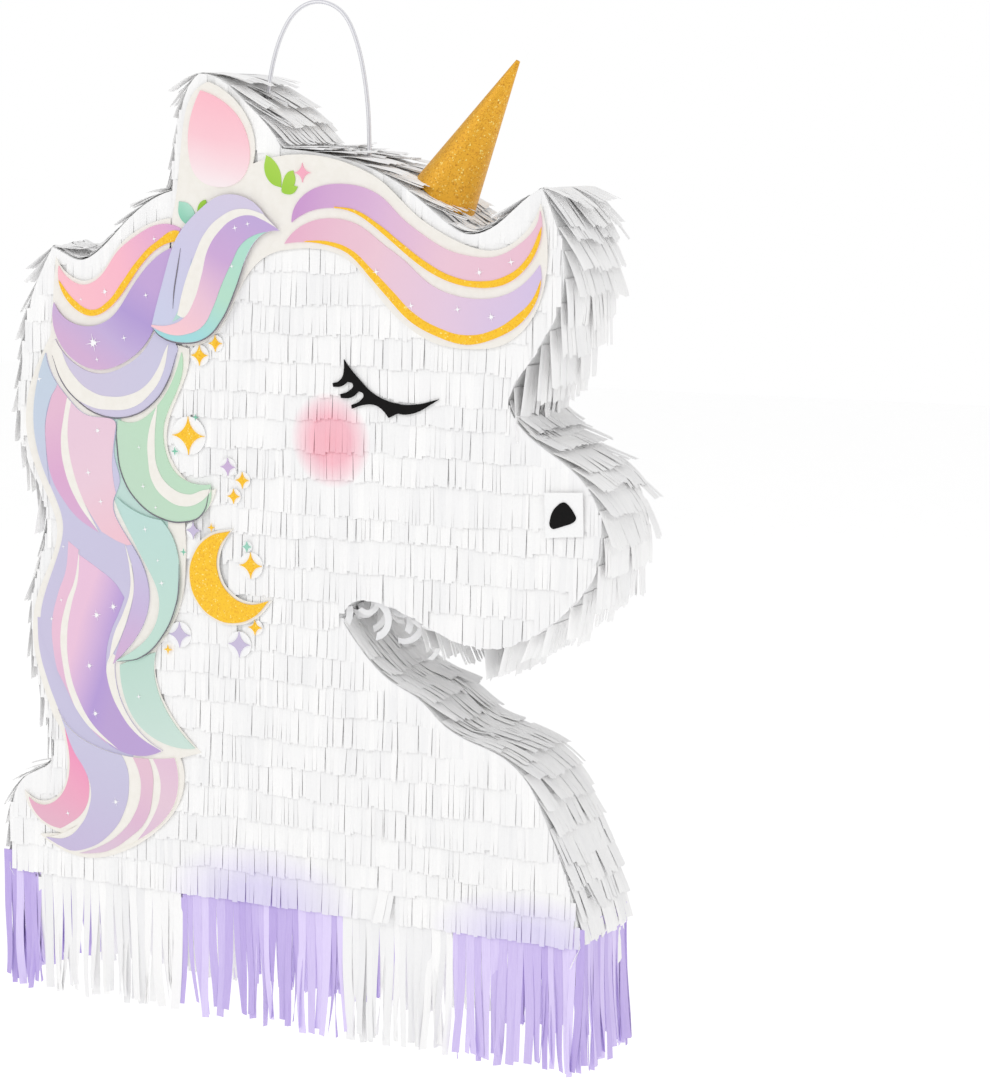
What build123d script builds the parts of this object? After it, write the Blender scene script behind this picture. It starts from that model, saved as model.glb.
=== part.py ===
"""Unicorn-head pinata: a flat card box covered in fringed tissue, hung from a cord loop.

Millimetres. The row's origin is the top of the cord loop: +X towards the muzzle, +Y towards the
back, +Z up. Outlines are drawn in card coordinates, x from the neck's back corner and z from the
base, and at() moves them into the row's frame.
"""
import math
import os

from build123d import *

os.makedirs("parts", exist_ok=True)

# ---------------------------------------------------------------- driving dimensions
drawn_width, drawn_height = 322.0, 400.0    # the outline as it is drawn below
body_width = 322.0                          # base of the neck, back corner to chest corner
body_height = 400.0                         # base to ear tip
body_depth = 52.0                           # outside of the front panel to outside of the back
panel_card = 2.0                            # front and back panels
wall_card = 1.6                             # edge walls
plate_card = 1.5                            # doublers under the loop's slots
print_card = 0.6                            # printed shapes on the front
tissue = 1.2                                # a layer of fringed tissue
row_pitch = 14.0                            # one tissue row
row_gap = 0.2                               # between two rows as flat strips
skirt_drop = 63.0                           # long strips below the base
skirt_glue = 10.0                           # how far they are glued up the panels
skirt_thick = 1.2
cord_dia = 2.0
knot_dia = 7.0
slot_width = 3.6                            # loop slot, across the swing
slot_length = 15.0                          # loop slot, along the swing
slot_reach = 25.0                           # from a knot out past the tissue
tissue_slot_margin = 0.6                    # the tissue is torn a little wider than the card slot
horn_base_dia = 31.0
horn_tip_dia = 2.0
horn_length = 70.0
horn_card = 0.8
horn_sink = 9.0                             # blank length that is trimmed to the crown
flap_width, flap_height = 90.0, 70.0        # filling hole in the back panel
flap_left, flap_bottom = 112.0, 198.0
flap_gap = 0.4                              # cut line round the door

# ---------------------------------------------------------------- hand-drawn outlines
hang_x, hang_z = 173.0, 433.2               # top of the loop in card coordinates

# the card's outline, one stretch for each edge wall, anticlockwise from the base's back corner
stretches = {
    "base": [(2, 0), (322, 0)],
    "chest": [(322, 0), (318, 24), (312, 41), (304, 60), (295, 76), (281, 87), (263, 93), (250, 100),
              (240, 109), (224, 117), (209, 130), (197, 146)],
    "jaw": [(197, 146), (205, 154), (221, 154), (241, 147), (258, 140), (280, 138), (298, 145),
            (316, 159), (328, 174), (332, 190), (328, 210), (316, 223), (299, 234), (285, 251)],
    "brow": [(285, 251), (290, 262), (304, 282), (311, 297), (313, 312), (309, 332), (302, 348)],
    "crown": [(302, 348), (290, 340), (277, 330), (266, 327), (250, 335), (232, 348), (210, 358),
              (194, 362), (168, 365)],
    "ear_front": [(168, 365), (158, 378), (149, 386), (135, 397), (123, 400)],
    "ear_back": [(123, 400), (118, 395), (112, 380), (109, 364), (107, 345)],
    "poll": [(107, 345), (96, 341), (78, 328), (63, 315), (53, 311), (44, 314), (37, 317)],
    "nape": [(37, 317), (30, 305), (24, 292), (18, 265), (15, 238), (20, 211), (30, 186), (25, 160),
             (19, 135), (22, 104), (31, 66)],
    "lobe": [(31, 66), (25, 55), (13, 49), (6, 40), (3, 24), (2, 0)],
}

# the cord from the knot inside the ear wall, over the top, to the knot inside the crown wall
loop_points = [(143.5, 381.6), (146.0, 397.0), (150.5, 413.5), (158.0, 427.0), (167.5, 433.2),
               (178.5, 433.2), (188.5, 427.0), (195.0, 412.0), (198.8, 393.0), (200.3, 373.5),
               (200.0, 353.8)]

horn_foot = (241.0, 345.0)                  # middle of the horn's base, on the crown
horn_lean = 31.5                            # degrees from upright, towards the muzzle

# each printed shape: its layer on the front, and its edge as curves that meet in corners
printed = {
    "crown_card": (0, [
        [(153, 358), (187, 362), (208, 357), (222, 350), (237, 337), (251, 328), (265, 322), (279, 320),
         (292, 326), (302, 341)],
        [(302, 341), (304, 305), (295, 286), (282, 277), (265, 275), (249, 277), (235, 284), (222, 295),
         (212, 307), (200, 316), (186, 319), (170, 318)],
        [(170, 318), (158, 314), (150, 307), (144, 298), (137, 285), (128, 275), (117, 271)],
        [(117, 271), (104, 274)],
        [(104, 274), (108, 333)],
        [(108, 333), (111, 347), (114, 370), (121, 391), (129, 396)],
        [(129, 396), (143, 388), (153, 373), (153, 358)],
    ]),
    "mane_card": (0, [
        [(103, 273), (116, 270)],
        [(116, 270), (113, 255), (108, 245), (103, 232), (103, 220), (109, 210), (119, 203), (130, 203)],
        [(130, 203), (124, 192), (112, 186)],
        [(112, 186), (112, 165), (108, 143), (101, 130), (94, 122)],
        [(94, 122), (94, 105), (103, 88), (119, 72)],
        [(119, 72), (107, 68)],
        [(107, 68), (109, 58), (105, 44), (93, 30), (73, 17), (48, 11), (33, 14), (22, 20)],
        [(22, 20), (35, 22)],
        [(35, 22), (22, 27), (16, 33), (13, 42)],
        [(13, 42), (27, 38), (35, 43), (39, 52), (39, 68), (32, 82)],
        [(32, 82), (26, 98), (21, 120), (23, 140), (33, 162), (37, 178), (31, 195), (24, 210), (20, 226),
         (22, 246), (29, 262), (36, 274)],
        [(36, 274), (40, 312)],
        [(40, 312), (47, 304), (57, 301), (66, 305), (76, 317), (90, 327), (107, 332)],
        [(107, 332), (103, 273)],
    ]),
    "moon_backing": (0, [
        [(116, 186), (127, 190), (140, 188)],
        [(140, 188), (135, 176), (137, 162), (147, 153), (162, 151)],
        [(162, 151), (153, 141), (140, 135), (126, 136), (117, 145), (116, 165), (116, 186)],
    ]),
    "pink_lock": (1, [
        [(42, 308), (46, 303), (56, 299), (67, 304), (76, 315), (87, 323), (97, 328), (107, 329), (113, 327)],
        [(113, 327), (110, 321)],
        [(110, 321), (99, 317), (89, 308), (81, 298), (71, 288), (61, 284), (49, 289), (43, 297), (42, 308)],
    ]),
    "violet_lock": (2, [
        [(39, 290), (46, 282), (60, 279), (73, 284), (83, 296), (94, 309), (108, 318)],
        [(108, 318), (104, 300), (99, 284), (93, 273), (81, 263), (63, 258), (49, 263), (40, 274), (39, 290)],
    ]),
    "crescent_lock": (1, [
        [(39, 272), (49, 261), (63, 256), (81, 261), (93, 271), (99, 279), (110, 270)],
        [(110, 270), (104, 254), (95, 243), (81, 236), (65, 236), (51, 243), (42, 252), (37, 264), (39, 272)],
    ]),
    "side_lock": (3, [
        [(96, 280), (99, 290), (104, 305), (112, 324), (124, 336), (136, 343), (147, 343), (160, 334)],
        [(160, 334), (168, 327)],
        [(168, 327), (157, 324), (149, 313), (143, 298), (136, 285), (127, 276), (113, 273), (101, 276),
         (96, 280)],
    ]),
    "green_lock": (1, [
        [(112, 268), (112, 258), (107, 246), (101, 232), (102, 219), (108, 209), (117, 205), (127, 205)],
        [(127, 205), (122, 190), (112, 186), (99, 187), (86, 194), (77, 206), (74, 222), (75, 234)],
        [(75, 234), (84, 233), (97, 241), (106, 253), (112, 268)],
    ]),
    "mint_lock": (2, [
        [(73, 196), (80, 180), (90, 163), (97, 148), (93, 131), (83, 121), (71, 114)],
        [(71, 114), (86, 117), (99, 129), (107, 145), (109, 160), (107, 174), (99, 186)],
        [(99, 186), (85, 189), (73, 196)],
    ]),
    "mint_tail": (1, [
        [(73, 112), (83, 116), (94, 120)],
        [(94, 120), (93, 108), (99, 92), (116, 74)],
        [(116, 74), (97, 75), (82, 84), (75, 97), (73, 112)],
    ]),
    "long_lock": (1, [
        [(33, 265), (38, 252), (46, 243), (58, 235), (73, 233), (72, 218), (75, 203), (71, 193), (76, 180),
         (86, 166), (91, 150), (88, 135), (80, 123), (70, 113)],
        [(70, 113), (72, 97), (80, 83), (97, 71)],
        [(97, 71), (84, 67), (70, 69), (56, 77), (44, 91)],
        [(44, 91), (33, 110), (26, 128), (30, 147), (38, 166), (41, 180), (36, 195), (29, 210), (25, 228),
         (27, 248), (33, 265)],
    ]),
    "curl_locks": (1, [
        [(35, 86), (46, 74), (58, 69), (76, 66), (104, 68)],
        [(104, 68), (106, 58), (103, 44), (93, 32), (76, 21), (60, 15), (44, 13)],
        [(44, 13), (33, 16), (26, 19)],
        [(26, 19), (38, 23), (46, 28)],
        [(46, 28), (31, 25), (21, 30), (16, 39)],
        [(16, 39), (27, 36), (36, 42), (41, 53), (41, 67), (35, 86)],
    ]),
    "forelock_upper": (1, [
        [(174, 331), (177, 340), (187, 347), (199, 349), (210, 348), (222, 343), (232, 334), (242, 327),
         (255, 320), (268, 317), (279, 317), (292, 323), (300, 331), (302, 338)],
        [(302, 338), (302, 324), (295, 312), (285, 305), (272, 303), (258, 305), (244, 311), (231, 320),
         (219, 329), (207, 336), (195, 338), (183, 336), (174, 331)],
    ]),
    "forelock_lower": (1, [
        [(170, 321), (177, 328), (186, 332), (198, 333), (210, 330), (222, 322), (234, 314), (245, 305),
         (260, 299), (274, 298), (287, 301), (298, 309), (302, 314)],
        [(302, 314), (301, 299), (292, 287), (279, 280), (265, 277), (251, 280), (236, 287), (225, 297),
         (214, 308), (204, 317), (192, 321), (180, 322), (170, 321)],
    ]),
    "ear_card": (1, [
        [(125, 392), (137, 387), (146, 379), (151, 368), (151, 358), (147, 351), (134, 347), (122, 352),
         (118, 363), (119, 378), (125, 392)],
    ]),
    "eye_card": (0, [
        [(201, 267), (207, 260), (216, 252), (226, 248), (236, 247), (250, 251)],
        [(250, 251), (241, 245), (232, 243), (224, 242), (218, 246), (209, 247), (204, 249), (200, 253),
         (198, 258), (201, 267)],
    ]),
    "cheek_patch": (0, [
        [(176, 240), (190, 249), (206, 246), (213, 233), (207, 217), (193, 209), (179, 214), (173, 227),
         (176, 240)],
    ]),
    "nostril_card": (1, [
        [(309, 203), (313, 207), (319, 205), (321, 200), (317, 196), (311, 197), (309, 203)],
    ]),
}
nostril_backing_at, nostril_backing_size = (314.0, 201.0), (25.0, 24.0)
moon_at, moon_radius = (142.0, 163.0), 21.5     # the crescent's outer circle
moon_bite_at, moon_bite_radius = (152.5, 171.0), 19.5
# four-pointed stars: x, z and the distance from the middle to a tip
gold_stars = [(122, 267, 5), (131, 273, 4), (115, 228, 9.3), (145, 208, 4), (140, 200, 3.7),
              (149, 167, 6.4), (151, 137, 3.9)]
small_stars = [(137, 214, 4.3), (108, 130, 6.3), (142, 128, 6.3), (117, 182, 4.3), (180, 354, 4.5),
               (147, 176, 2.6)]
leaves = [(164, 354, 14, -65, 6), (172, 350, 9, 60, 4), (173, 345, 8, 10, 3), (117, 334, 12, -50, 6)]

# ---------------------------------------------------------------- planes and shared outlines
front_y = -body_depth / 2
back_y = body_depth / 2


def at(x, z):
    """Card coordinates to the row's frame."""
    return ((x - hang_x) * body_width / drawn_width, (z - hang_z) * body_height / drawn_height)


def facing(y):
    """A plane at depth y seen from the front: sketch x is +X, sketch y is +Z, extrude comes forward."""
    return Plane(origin=(0, y, 0), x_dir=(1, 0, 0), z_dir=(0, -1, 0))


def draw(points):
    """One smooth curve, or a straight line where there are two points."""
    if len(points) == 2:
        return Line(at(*points[0]), at(*points[1]))
    return Spline(*[at(*point) for point in points])


with BuildSketch() as silhouette:
    with BuildLine():
        for points in stretches.values():
            draw(points)
    make_face()


def ribbon(name, thickness, inside):
    """The strip along one stretch of the outline, on its inner or its outer side."""
    with BuildSketch() as strip:
        with BuildLine():
            draw(stretches[name])
        trace(line_width=2 * thickness)
        add(silhouette.sketch, mode=Mode.INTERSECT if inside else Mode.SUBTRACT)
    return strip.sketch


def band(low, high):
    """A rectangle right across the outline between two heights in the row's frame."""
    width = 2 * body_width
    with BuildSketch() as strip:
        with Locations((at(drawn_width / 2, 0)[0], (low + high) / 2)):
            Rectangle(width, high - low)
    return strip.sketch


def finish(builder, name):
    """Label a piece and write its file."""
    builder.part.label = name
    export_step(builder.part, f"parts/{name}.step")


def slab(name, shapes, y, thickness):
    """A flat piece: sketches laid at depth y and extruded towards the front."""
    with BuildPart() as piece:
        with BuildSketch(facing(y)):
            for shape in shapes:
                add(shape)
        extrude(amount=thickness)
    finish(piece, name)


base_z = at(0, 0)[1]
ear_z = at(0, drawn_height)[1]
glue_top = base_z + skirt_glue

# ---------------------------------------------------------------- the cord loop and its knots
cord = [Vector(at(*point)[0], 0, at(*point)[1]) for point in loop_points]
corner_radii = []
for before, corner, after in zip(cord, cord[1:], cord[2:]):
    turn = (corner - before).get_angle(after - corner)
    shorter_run = min((corner - before).length, (after - corner).length)
    corner_radii.append(0.45 * shorter_run / math.tan(math.radians(turn / 2)))
print("loop radii", [round(radius, 1) for radius in corner_radii])

with BuildPart() as hanging_loop:
    with BuildLine() as loop_path:
        FilletPolyline(*cord, radius=corner_radii)
    with BuildSketch(Plane(origin=cord[0], z_dir=cord[1] - cord[0])):
        Circle(cord_dia / 2)
    sweep(path=loop_path.wire())
loop_length = loop_path.wire().length
print("loop length", round(loop_length, 1), "volume over section and length",
      round(hanging_loop.part.volume / (math.pi * cord_dia**2 / 4 * loop_length), 4))
finish(hanging_loop, "hanging_loop")

with BuildPart() as loop_knots:
    with Locations(cord[0], cord[-1]):
        Sphere(knot_dia / 2)
finish(loop_knots, "loop_knots")



def slot_cutters(margin):
    """The two slots' shapes, one along each leg: long in the swing's direction."""
    with BuildPart() as cutters:
        for foot, next_point in ((cord[0], cord[1]), (cord[-1], cord[-2])):
            with BuildSketch(Plane(origin=foot, x_dir=(0, 1, 0), z_dir=next_point - foot)):
                Rectangle(slot_length + 2 * margin, slot_width + 2 * margin)
            extrude(amount=slot_reach)
    return cutters.part


card_slots = slot_cutters(0)
tissue_slots = slot_cutters(tissue_slot_margin)

# ---------------------------------------------------------------- panels, walls, doublers
flap_low = at(flap_left, flap_bottom)
flap_middle = (flap_low[0] + flap_width / 2, flap_low[1] + flap_height / 2)

with BuildPart() as front_panel:
    with BuildSketch(facing(front_y + panel_card)):
        add(silhouette.sketch)
    extrude(amount=panel_card)
finish(front_panel, "front_panel")

with BuildPart() as back_panel:
    with BuildSketch(facing(back_y)):
        add(silhouette.sketch)
        with Locations(flap_middle):
            Rectangle(flap_width, flap_height, mode=Mode.SUBTRACT)
    extrude(amount=panel_card)
finish(back_panel, "back_panel")

wall_depth = body_depth - 2 * panel_card
walls_laid = []
for name in stretches:
    with BuildPart() as wall:
        with BuildSketch(facing(back_y - panel_card)) as wall_strip:
            add(ribbon(name, wall_card, inside=True))
            for earlier in walls_laid:
                add(earlier, mode=Mode.SUBTRACT)
        extrude(amount=wall_depth)
        if name in ("crown", "ear_front"):
            add(card_slots, mode=Mode.SUBTRACT)
    walls_laid.append(ribbon(name, wall_card, inside=True))
    finish(wall, f"{name}_wall")

with BuildPart() as loop_plates:
    with BuildSketch(facing(back_y - panel_card - flap_gap)):
        for name, low, high in (("crown", (185, 340), (216, 370)), ("ear_front", (137, 370), (156, 400))):
            add(ribbon(name, wall_card + plate_card, inside=True))
        for earlier in walls_laid:
            add(earlier, mode=Mode.SUBTRACT)
        with BuildSketch(mode=Mode.PRIVATE) as windows:
            for low, high in (((185, 340), (216, 370)), ((137, 370), (156, 400))):
                with Locations(((at(*low)[0] + at(*high)[0]) / 2, (at(*low)[1] + at(*high)[1]) / 2)):
                    Rectangle(at(*high)[0] - at(*low)[0], at(*high)[1] - at(*low)[1])
        add(windows.sketch, mode=Mode.INTERSECT)
    extrude(amount=wall_depth - 2 * flap_gap)
    add(card_slots, mode=Mode.SUBTRACT)
finish(loop_plates, "loop_plates")

# ---------------------------------------------------------------- tissue on the edge walls
fringe_laid = []
for name in list(stretches)[1:]:
    outer = ribbon(name, tissue, inside=False)
    with BuildPart() as fringe:
        with BuildSketch(facing(back_y)):
            add(outer)
            for earlier in fringe_laid:
                add(earlier, mode=Mode.SUBTRACT)
            if name in ("chest", "lobe"):
                add(band(base_z - skirt_drop, glue_top), mode=Mode.SUBTRACT)
        extrude(amount=body_depth)
        if name in ("crown", "ear_front"):
            add(tissue_slots, mode=Mode.SUBTRACT)
    fringe_laid.append(outer)
    finish(fringe, f"{name}_fringe")

# ---------------------------------------------------------------- tissue rows, front and back
row_count = math.ceil((ear_z - glue_top) / row_pitch)


def tissue_rows(shape):
    """The rows of tissue over one flat shape, from the skirt's glue line up to the ear."""
    with BuildSketch() as rows:
        for index in range(row_count):
            low = glue_top + index * row_pitch
            add(band(low, low + row_pitch - row_gap))
        add(shape, mode=Mode.INTERSECT)
    return rows.sketch


with BuildSketch() as door:
    with Locations(flap_middle):
        Rectangle(flap_width - 2 * flap_gap, flap_height - 2 * flap_gap)
with BuildSketch() as back_face:
    add(silhouette.sketch)
    with Locations(flap_middle):
        Rectangle(flap_width, flap_height, mode=Mode.SUBTRACT)

slab("front_fringe", [tissue_rows(silhouette.sketch)], front_y, tissue)
slab("back_fringe", [tissue_rows(back_face.sketch)], back_y + tissue, tissue)
slab("fill_flap", [door.sketch], back_y, panel_card)
slab("flap_fringe", [tissue_rows(door.sketch)], back_y + tissue, tissue)


# ---------------------------------------------------------------- the skirt's long strips
def skirt_band(left, right):
    """One colour of the skirt between two places along the base."""
    with BuildSketch() as strip:
        with BuildLine():
            Polyline((at(left, 0)[0], base_z - skirt_drop), (at(right, 0)[0], base_z - skirt_drop),
                     (at(right, 0)[0], glue_top), (at(left, 0)[0], glue_top), close=True)
        make_face()
        add(skirt_limit.sketch, mode=Mode.INTERSECT)
    return strip.sketch


base_left, base_right = stretches["base"][0][0], stretches["base"][1][0]
with BuildSketch() as skirt_limit:
    with Locations(((at(base_left, 0)[0] + at(base_right, 0)[0]) / 2, base_z - skirt_drop / 2)):
        Rectangle(at(base_right, 0)[0] - at(base_left, 0)[0], skirt_drop)
    with BuildSketch(mode=Mode.PRIVATE) as glued:
        add(silhouette.sketch)
        add(band(base_z, glue_top), mode=Mode.INTERSECT)
    add(glued.sketch)

white_bands = [(19, 105), (197, 256)]
violet_bands = [(base_left - 2, 18.8), (105.2, 196.8), (256.2, base_right)]
slab("skirt_front_white", [skirt_band(*ends) for ends in white_bands], front_y, skirt_thick)
slab("skirt_front_violet", [skirt_band(*ends) for ends in violet_bands], front_y, skirt_thick)
slab("skirt_back_white", [skirt_band(*ends) for ends in white_bands], back_y + skirt_thick, skirt_thick)
slab("skirt_back_violet", [skirt_band(*ends) for ends in violet_bands], back_y + skirt_thick, skirt_thick)

for name, base_x, out in (("skirt_chest_side", base_right, 1), ("skirt_neck_side", base_left, -1)):
    edge_x = at(base_x, 0)[0]
    with BuildPart() as side_skirt:
        with BuildSketch(facing(back_y)):
            with BuildLine():
                Polyline((edge_x, base_z - skirt_drop), (edge_x + out * skirt_thick, base_z - skirt_drop),
                         (edge_x + out * skirt_thick, glue_top), (edge_x - out * 3, glue_top),
                         (edge_x - out * 3, base_z), (edge_x, base_z), close=True)
            make_face()
            add(silhouette.sketch, mode=Mode.SUBTRACT)
        extrude(amount=body_depth)
    finish(side_skirt, name)

# ---------------------------------------------------------------- the horn
foot_x, foot_z = at(*horn_foot)
lean = math.radians(horn_lean)
horn_axis = Vector(math.sin(lean), 0, math.cos(lean))
horn_start = Vector(foot_x, 0, foot_z) - horn_axis * horn_sink
horn_slope = (horn_base_dia - horn_tip_dia) / 2 / horn_length       # radius lost for each mm of height
horn_blank_radius = horn_base_dia / 2 + horn_slope * horn_sink

with BuildPart() as horn:
    with BuildSketch(Plane(origin=horn_start, z_dir=horn_axis)):
        Circle(horn_blank_radius)
    with BuildSketch(Plane(origin=horn_start + horn_axis * (horn_length + horn_sink), z_dir=horn_axis)):
        Circle(horn_tip_dia / 2)
    loft()
    # hollow, and open below
    hollow_length = (horn_blank_radius - horn_card - 0.2) / horn_slope
    with BuildSketch(Plane(origin=horn_start, z_dir=horn_axis)):
        Circle(horn_blank_radius - horn_card)
    with BuildSketch(Plane(origin=horn_start + horn_axis * hollow_length, z_dir=horn_axis)):
        Circle(0.2)
    loft(mode=Mode.SUBTRACT)
    # the foot is trimmed to the crown's tissue
    with BuildSketch(facing(back_y)):
        add(silhouette.sketch)
        add(ribbon("crown", tissue, inside=False))
    extrude(amount=body_depth, mode=Mode.SUBTRACT)
finish(horn, "horn")


# ---------------------------------------------------------------- printed cards on the front
def layer_y(layer):
    """The back of a printed layer: the first lies on the tissue."""
    return front_y - tissue - layer * print_card


card_shapes = {}
for name, (layer, curves) in printed.items():
    with BuildSketch() as shape:
        with BuildLine():
            for points in curves:
                draw(points)
        make_face()
    card_shapes[name] = shape.sketch
    slab(name, [shape.sketch], layer_y(layer), print_card)

with BuildPart() as nostril_backing:
    with BuildSketch(facing(layer_y(0))):
        with Locations(at(*nostril_backing_at)):
            Rectangle(*nostril_backing_size)
    extrude(amount=print_card)
finish(nostril_backing, "nostril_backing")

with BuildPart() as moon_card:
    with BuildSketch(facing(layer_y(1))):
        with Locations(at(*moon_at)):
            Circle(moon_radius)
        with Locations(at(*moon_bite_at)):
            Circle(moon_bite_radius, mode=Mode.SUBTRACT)
    extrude(amount=print_card)
finish(moon_card, "moon_card")

star_waist = 0.44       # middle of a hollow side, as a share of the tip's distance


def star(x, z, half):
    """A four-pointed star with hollow sides, each an arc from tip to tip."""
    centre_x, centre_z = at(x, z)
    tips = [(centre_x + half * math.cos(angle), centre_z + half * math.sin(angle))
            for angle in (0, math.pi / 2, math.pi, 1.5 * math.pi)]
    waist = star_waist * half
    with BuildSketch() as shape:
        with BuildLine():
            for index, tip in enumerate(tips):
                angle = math.pi / 4 + index * math.pi / 2
                hollow = (centre_x + waist * math.cos(angle), centre_z + waist * math.sin(angle))
                ThreePointArc(tip, hollow, tips[(index + 1) % 4])
        make_face()
    return shape.sketch


slab("gold_stars", [star(*values) for values in gold_stars], layer_y(1), print_card)
slab("small_stars", [star(*values) for values in small_stars], layer_y(1), print_card)

# cream discs carry the stars that lie outside the backing cards
with BuildPart() as star_backings:
    with BuildSketch(facing(layer_y(0))):
        for x, z, half in gold_stars + small_stars:
            with Locations(at(x, z)):
                Circle(half)
        for name in ("crown_card", "mane_card", "moon_backing"):
            add(card_shapes[name], mode=Mode.SUBTRACT)
    extrude(amount=print_card)
finish(star_backings, "star_backings")


def leaf(x, z, length, angle, width):
    """A pointed leaf: two arcs from stem to tip."""
    centre_x, centre_z = at(x, z)
    along = Vector(math.cos(math.radians(angle)), math.sin(math.radians(angle)))
    across = Vector(-along.Y, along.X)
    centre = Vector(centre_x, centre_z)
    stem = centre - along * (length / 2)
    tip = centre + along * (length / 2)
    with BuildSketch() as shape:
        with BuildLine():
            ThreePointArc(stem, centre + across * (width / 2), tip)
            ThreePointArc(tip, centre - across * (width / 2), stem)
        make_face()
    return shape.sketch


slab("leaf_cards", [leaf(*values) for values in leaves], layer_y(1), print_card)
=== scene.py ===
# %% [markdown]
# # A unicorn-head pinata
# The real object is a flat card box in the outline of a unicorn's head and neck. It is covered in
# rows of cut tissue paper, a printed paper mane is glued to its front, a gold paper horn stands on
# the crown, long tissue strips hang from the base, and it hangs from a loop of cord.
# The card box is already modelled as exact solids, so this lesson builds what covers it: tissue,
# printed paper, cord and light. Everything is in metres, in the same frame as the solids.

# %% Load the frame
import math
import random

import bmesh
import bpy
from mathutils import Matrix, Vector
from mathutils.bvhtree import BVHTree


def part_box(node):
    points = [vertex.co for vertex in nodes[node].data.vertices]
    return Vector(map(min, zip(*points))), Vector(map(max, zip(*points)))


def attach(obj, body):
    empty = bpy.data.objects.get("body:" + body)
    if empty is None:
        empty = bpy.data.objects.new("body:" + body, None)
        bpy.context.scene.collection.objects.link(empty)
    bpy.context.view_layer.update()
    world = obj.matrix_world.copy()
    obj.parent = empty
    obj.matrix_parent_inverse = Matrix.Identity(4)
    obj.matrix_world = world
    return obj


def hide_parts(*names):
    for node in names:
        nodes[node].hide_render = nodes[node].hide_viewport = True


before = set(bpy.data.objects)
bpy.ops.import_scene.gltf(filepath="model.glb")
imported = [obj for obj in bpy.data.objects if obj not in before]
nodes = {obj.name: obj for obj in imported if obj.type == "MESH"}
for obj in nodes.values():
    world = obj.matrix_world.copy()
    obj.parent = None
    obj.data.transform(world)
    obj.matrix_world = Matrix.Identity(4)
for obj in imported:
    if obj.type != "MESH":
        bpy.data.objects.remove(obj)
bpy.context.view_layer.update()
bpy.ops.object.select_all(action="DESELECT")

# %% [markdown]
# ## Card coordinates
# The outline is easiest to think about flat on the table: millimetres along the base from the
# back corner of the neck, and millimetres up from the base. `at` turns such a point into the
# frame. The depth runs from the front tissue, at the lower Y, to the back.

# %% Card coordinates
MM = 0.001
NECK_CORNER_X = 2.0  # the base wall starts this far along the base
base_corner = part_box("base_wall")[0]
panel_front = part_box("front_panel")[0].y
panel_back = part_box("back_panel")[1].y
tissue_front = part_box("front_fringe")[0].y
CARD = 0.6 * MM


def at(x, z, y=0.0):
    """A point in card millimetres, at depth y in metres, in the frame."""
    return Vector((base_corner.x + (x - NECK_CORNER_X) * MM, y, base_corner.z + z * MM))


def card_face(layer):
    """The depth of the front of a printed card in that layer."""
    return tissue_front - CARD * (layer + 1)


print("front tissue at", round(tissue_front, 4), "first card face at", round(card_face(0), 4))

# %% [markdown]
# ## Camera
# The camera looks at the front from the muzzle's side and a little from above, so that the tissue
# on the muzzle, the brow and the chest is seen too. A long lens keeps the outline almost flat.

# %% Camera
bpy.ops.object.camera_add(
    location=(0.6491, -1.1305, -0.0592),
    rotation=(math.radians(81.4), 0.0, math.radians(26.2)),
)
camera = bpy.context.object
camera.name = "studio_camera"
camera.data.lens = 90.57
camera.data.sensor_width = 36.0
camera.data.clip_end = 20.0
bpy.context.scene.camera = camera
print("camera lens", camera.data.lens)

# %% [markdown]
# ## Paper, tissue and cord as materials
# Every finish starts from one helper. It makes a Principled material whose colour comes from a few
# nodes and whose bump comes from noise in object space, so the grain has its real size and doesn't
# stretch. Tissue needs two more things: each cut strip has its own tone, stored as an attribute,
# and fine fibres that run down the strip, which follow the strip's own UV map.

# %% A helper for materials


def new_material(name, roughness, bump_scale, bump_height, coat=0.0):
    """A material with paper grain in its bump. Returns it with its nodes, links and shader."""
    material = bpy.data.materials.new(name)
    material.use_nodes = True
    tree = material.node_tree
    shader = tree.nodes["Principled BSDF"]
    shader.inputs["Roughness"].default_value = roughness
    shader.inputs["Coat Weight"].default_value = coat
    place = tree.nodes.new("ShaderNodeTexCoord")
    grain = tree.nodes.new("ShaderNodeTexNoise")
    grain.inputs["Scale"].default_value = bump_scale
    grain.inputs["Detail"].default_value = 4.0
    tree.links.new(place.outputs["Object"], grain.inputs["Vector"])
    bump = tree.nodes.new("ShaderNodeBump")
    bump.inputs["Strength"].default_value = 1.0
    bump.inputs["Distance"].default_value = bump_height
    tree.links.new(grain.outputs["Fac"], bump.inputs["Height"])
    tree.links.new(bump.outputs["Normal"], shader.inputs["Normal"])
    return material, tree, shader, place


def ramp_node(tree, stops):
    """A colour ramp from a list of (position, (r, g, b))."""
    ramp = tree.nodes.new("ShaderNodeValToRGB")
    elements = ramp.color_ramp.elements
    while len(elements) < len(stops):
        elements.new(0.5)
    for element, (position, colour) in zip(elements, stops):
        element.position = position
        element.color = (*colour, 1.0)
    return ramp


def srgb(red, green, blue):
    """A colour as it is seen, turned into the linear values that a shader mixes."""
    return tuple(
        part / 12.92 if part <= 0.04045 else ((part + 0.055) / 1.055) ** 2.4
        for part in (red, green, blue)
    )


def speckled(name, light, dark, roughness, scale=900.0, bump_scale=1400.0, height=0.00004, coat=0.0):
    """Plain paper: two close colours mixed by fine noise."""
    material, tree, shader, place = new_material(name, roughness, bump_scale, height, coat)
    mottle = tree.nodes.new("ShaderNodeTexNoise")
    mottle.inputs["Scale"].default_value = scale
    mottle.inputs["Detail"].default_value = 3.0
    tree.links.new(place.outputs["Object"], mottle.inputs["Vector"])
    ramp = ramp_node(tree, [(0.35, srgb(*dark)), (0.65, srgb(*light))])
    tree.links.new(mottle.outputs["Fac"], ramp.inputs["Fac"])
    tree.links.new(ramp.outputs["Color"], shader.inputs["Base Color"])
    return material


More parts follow.
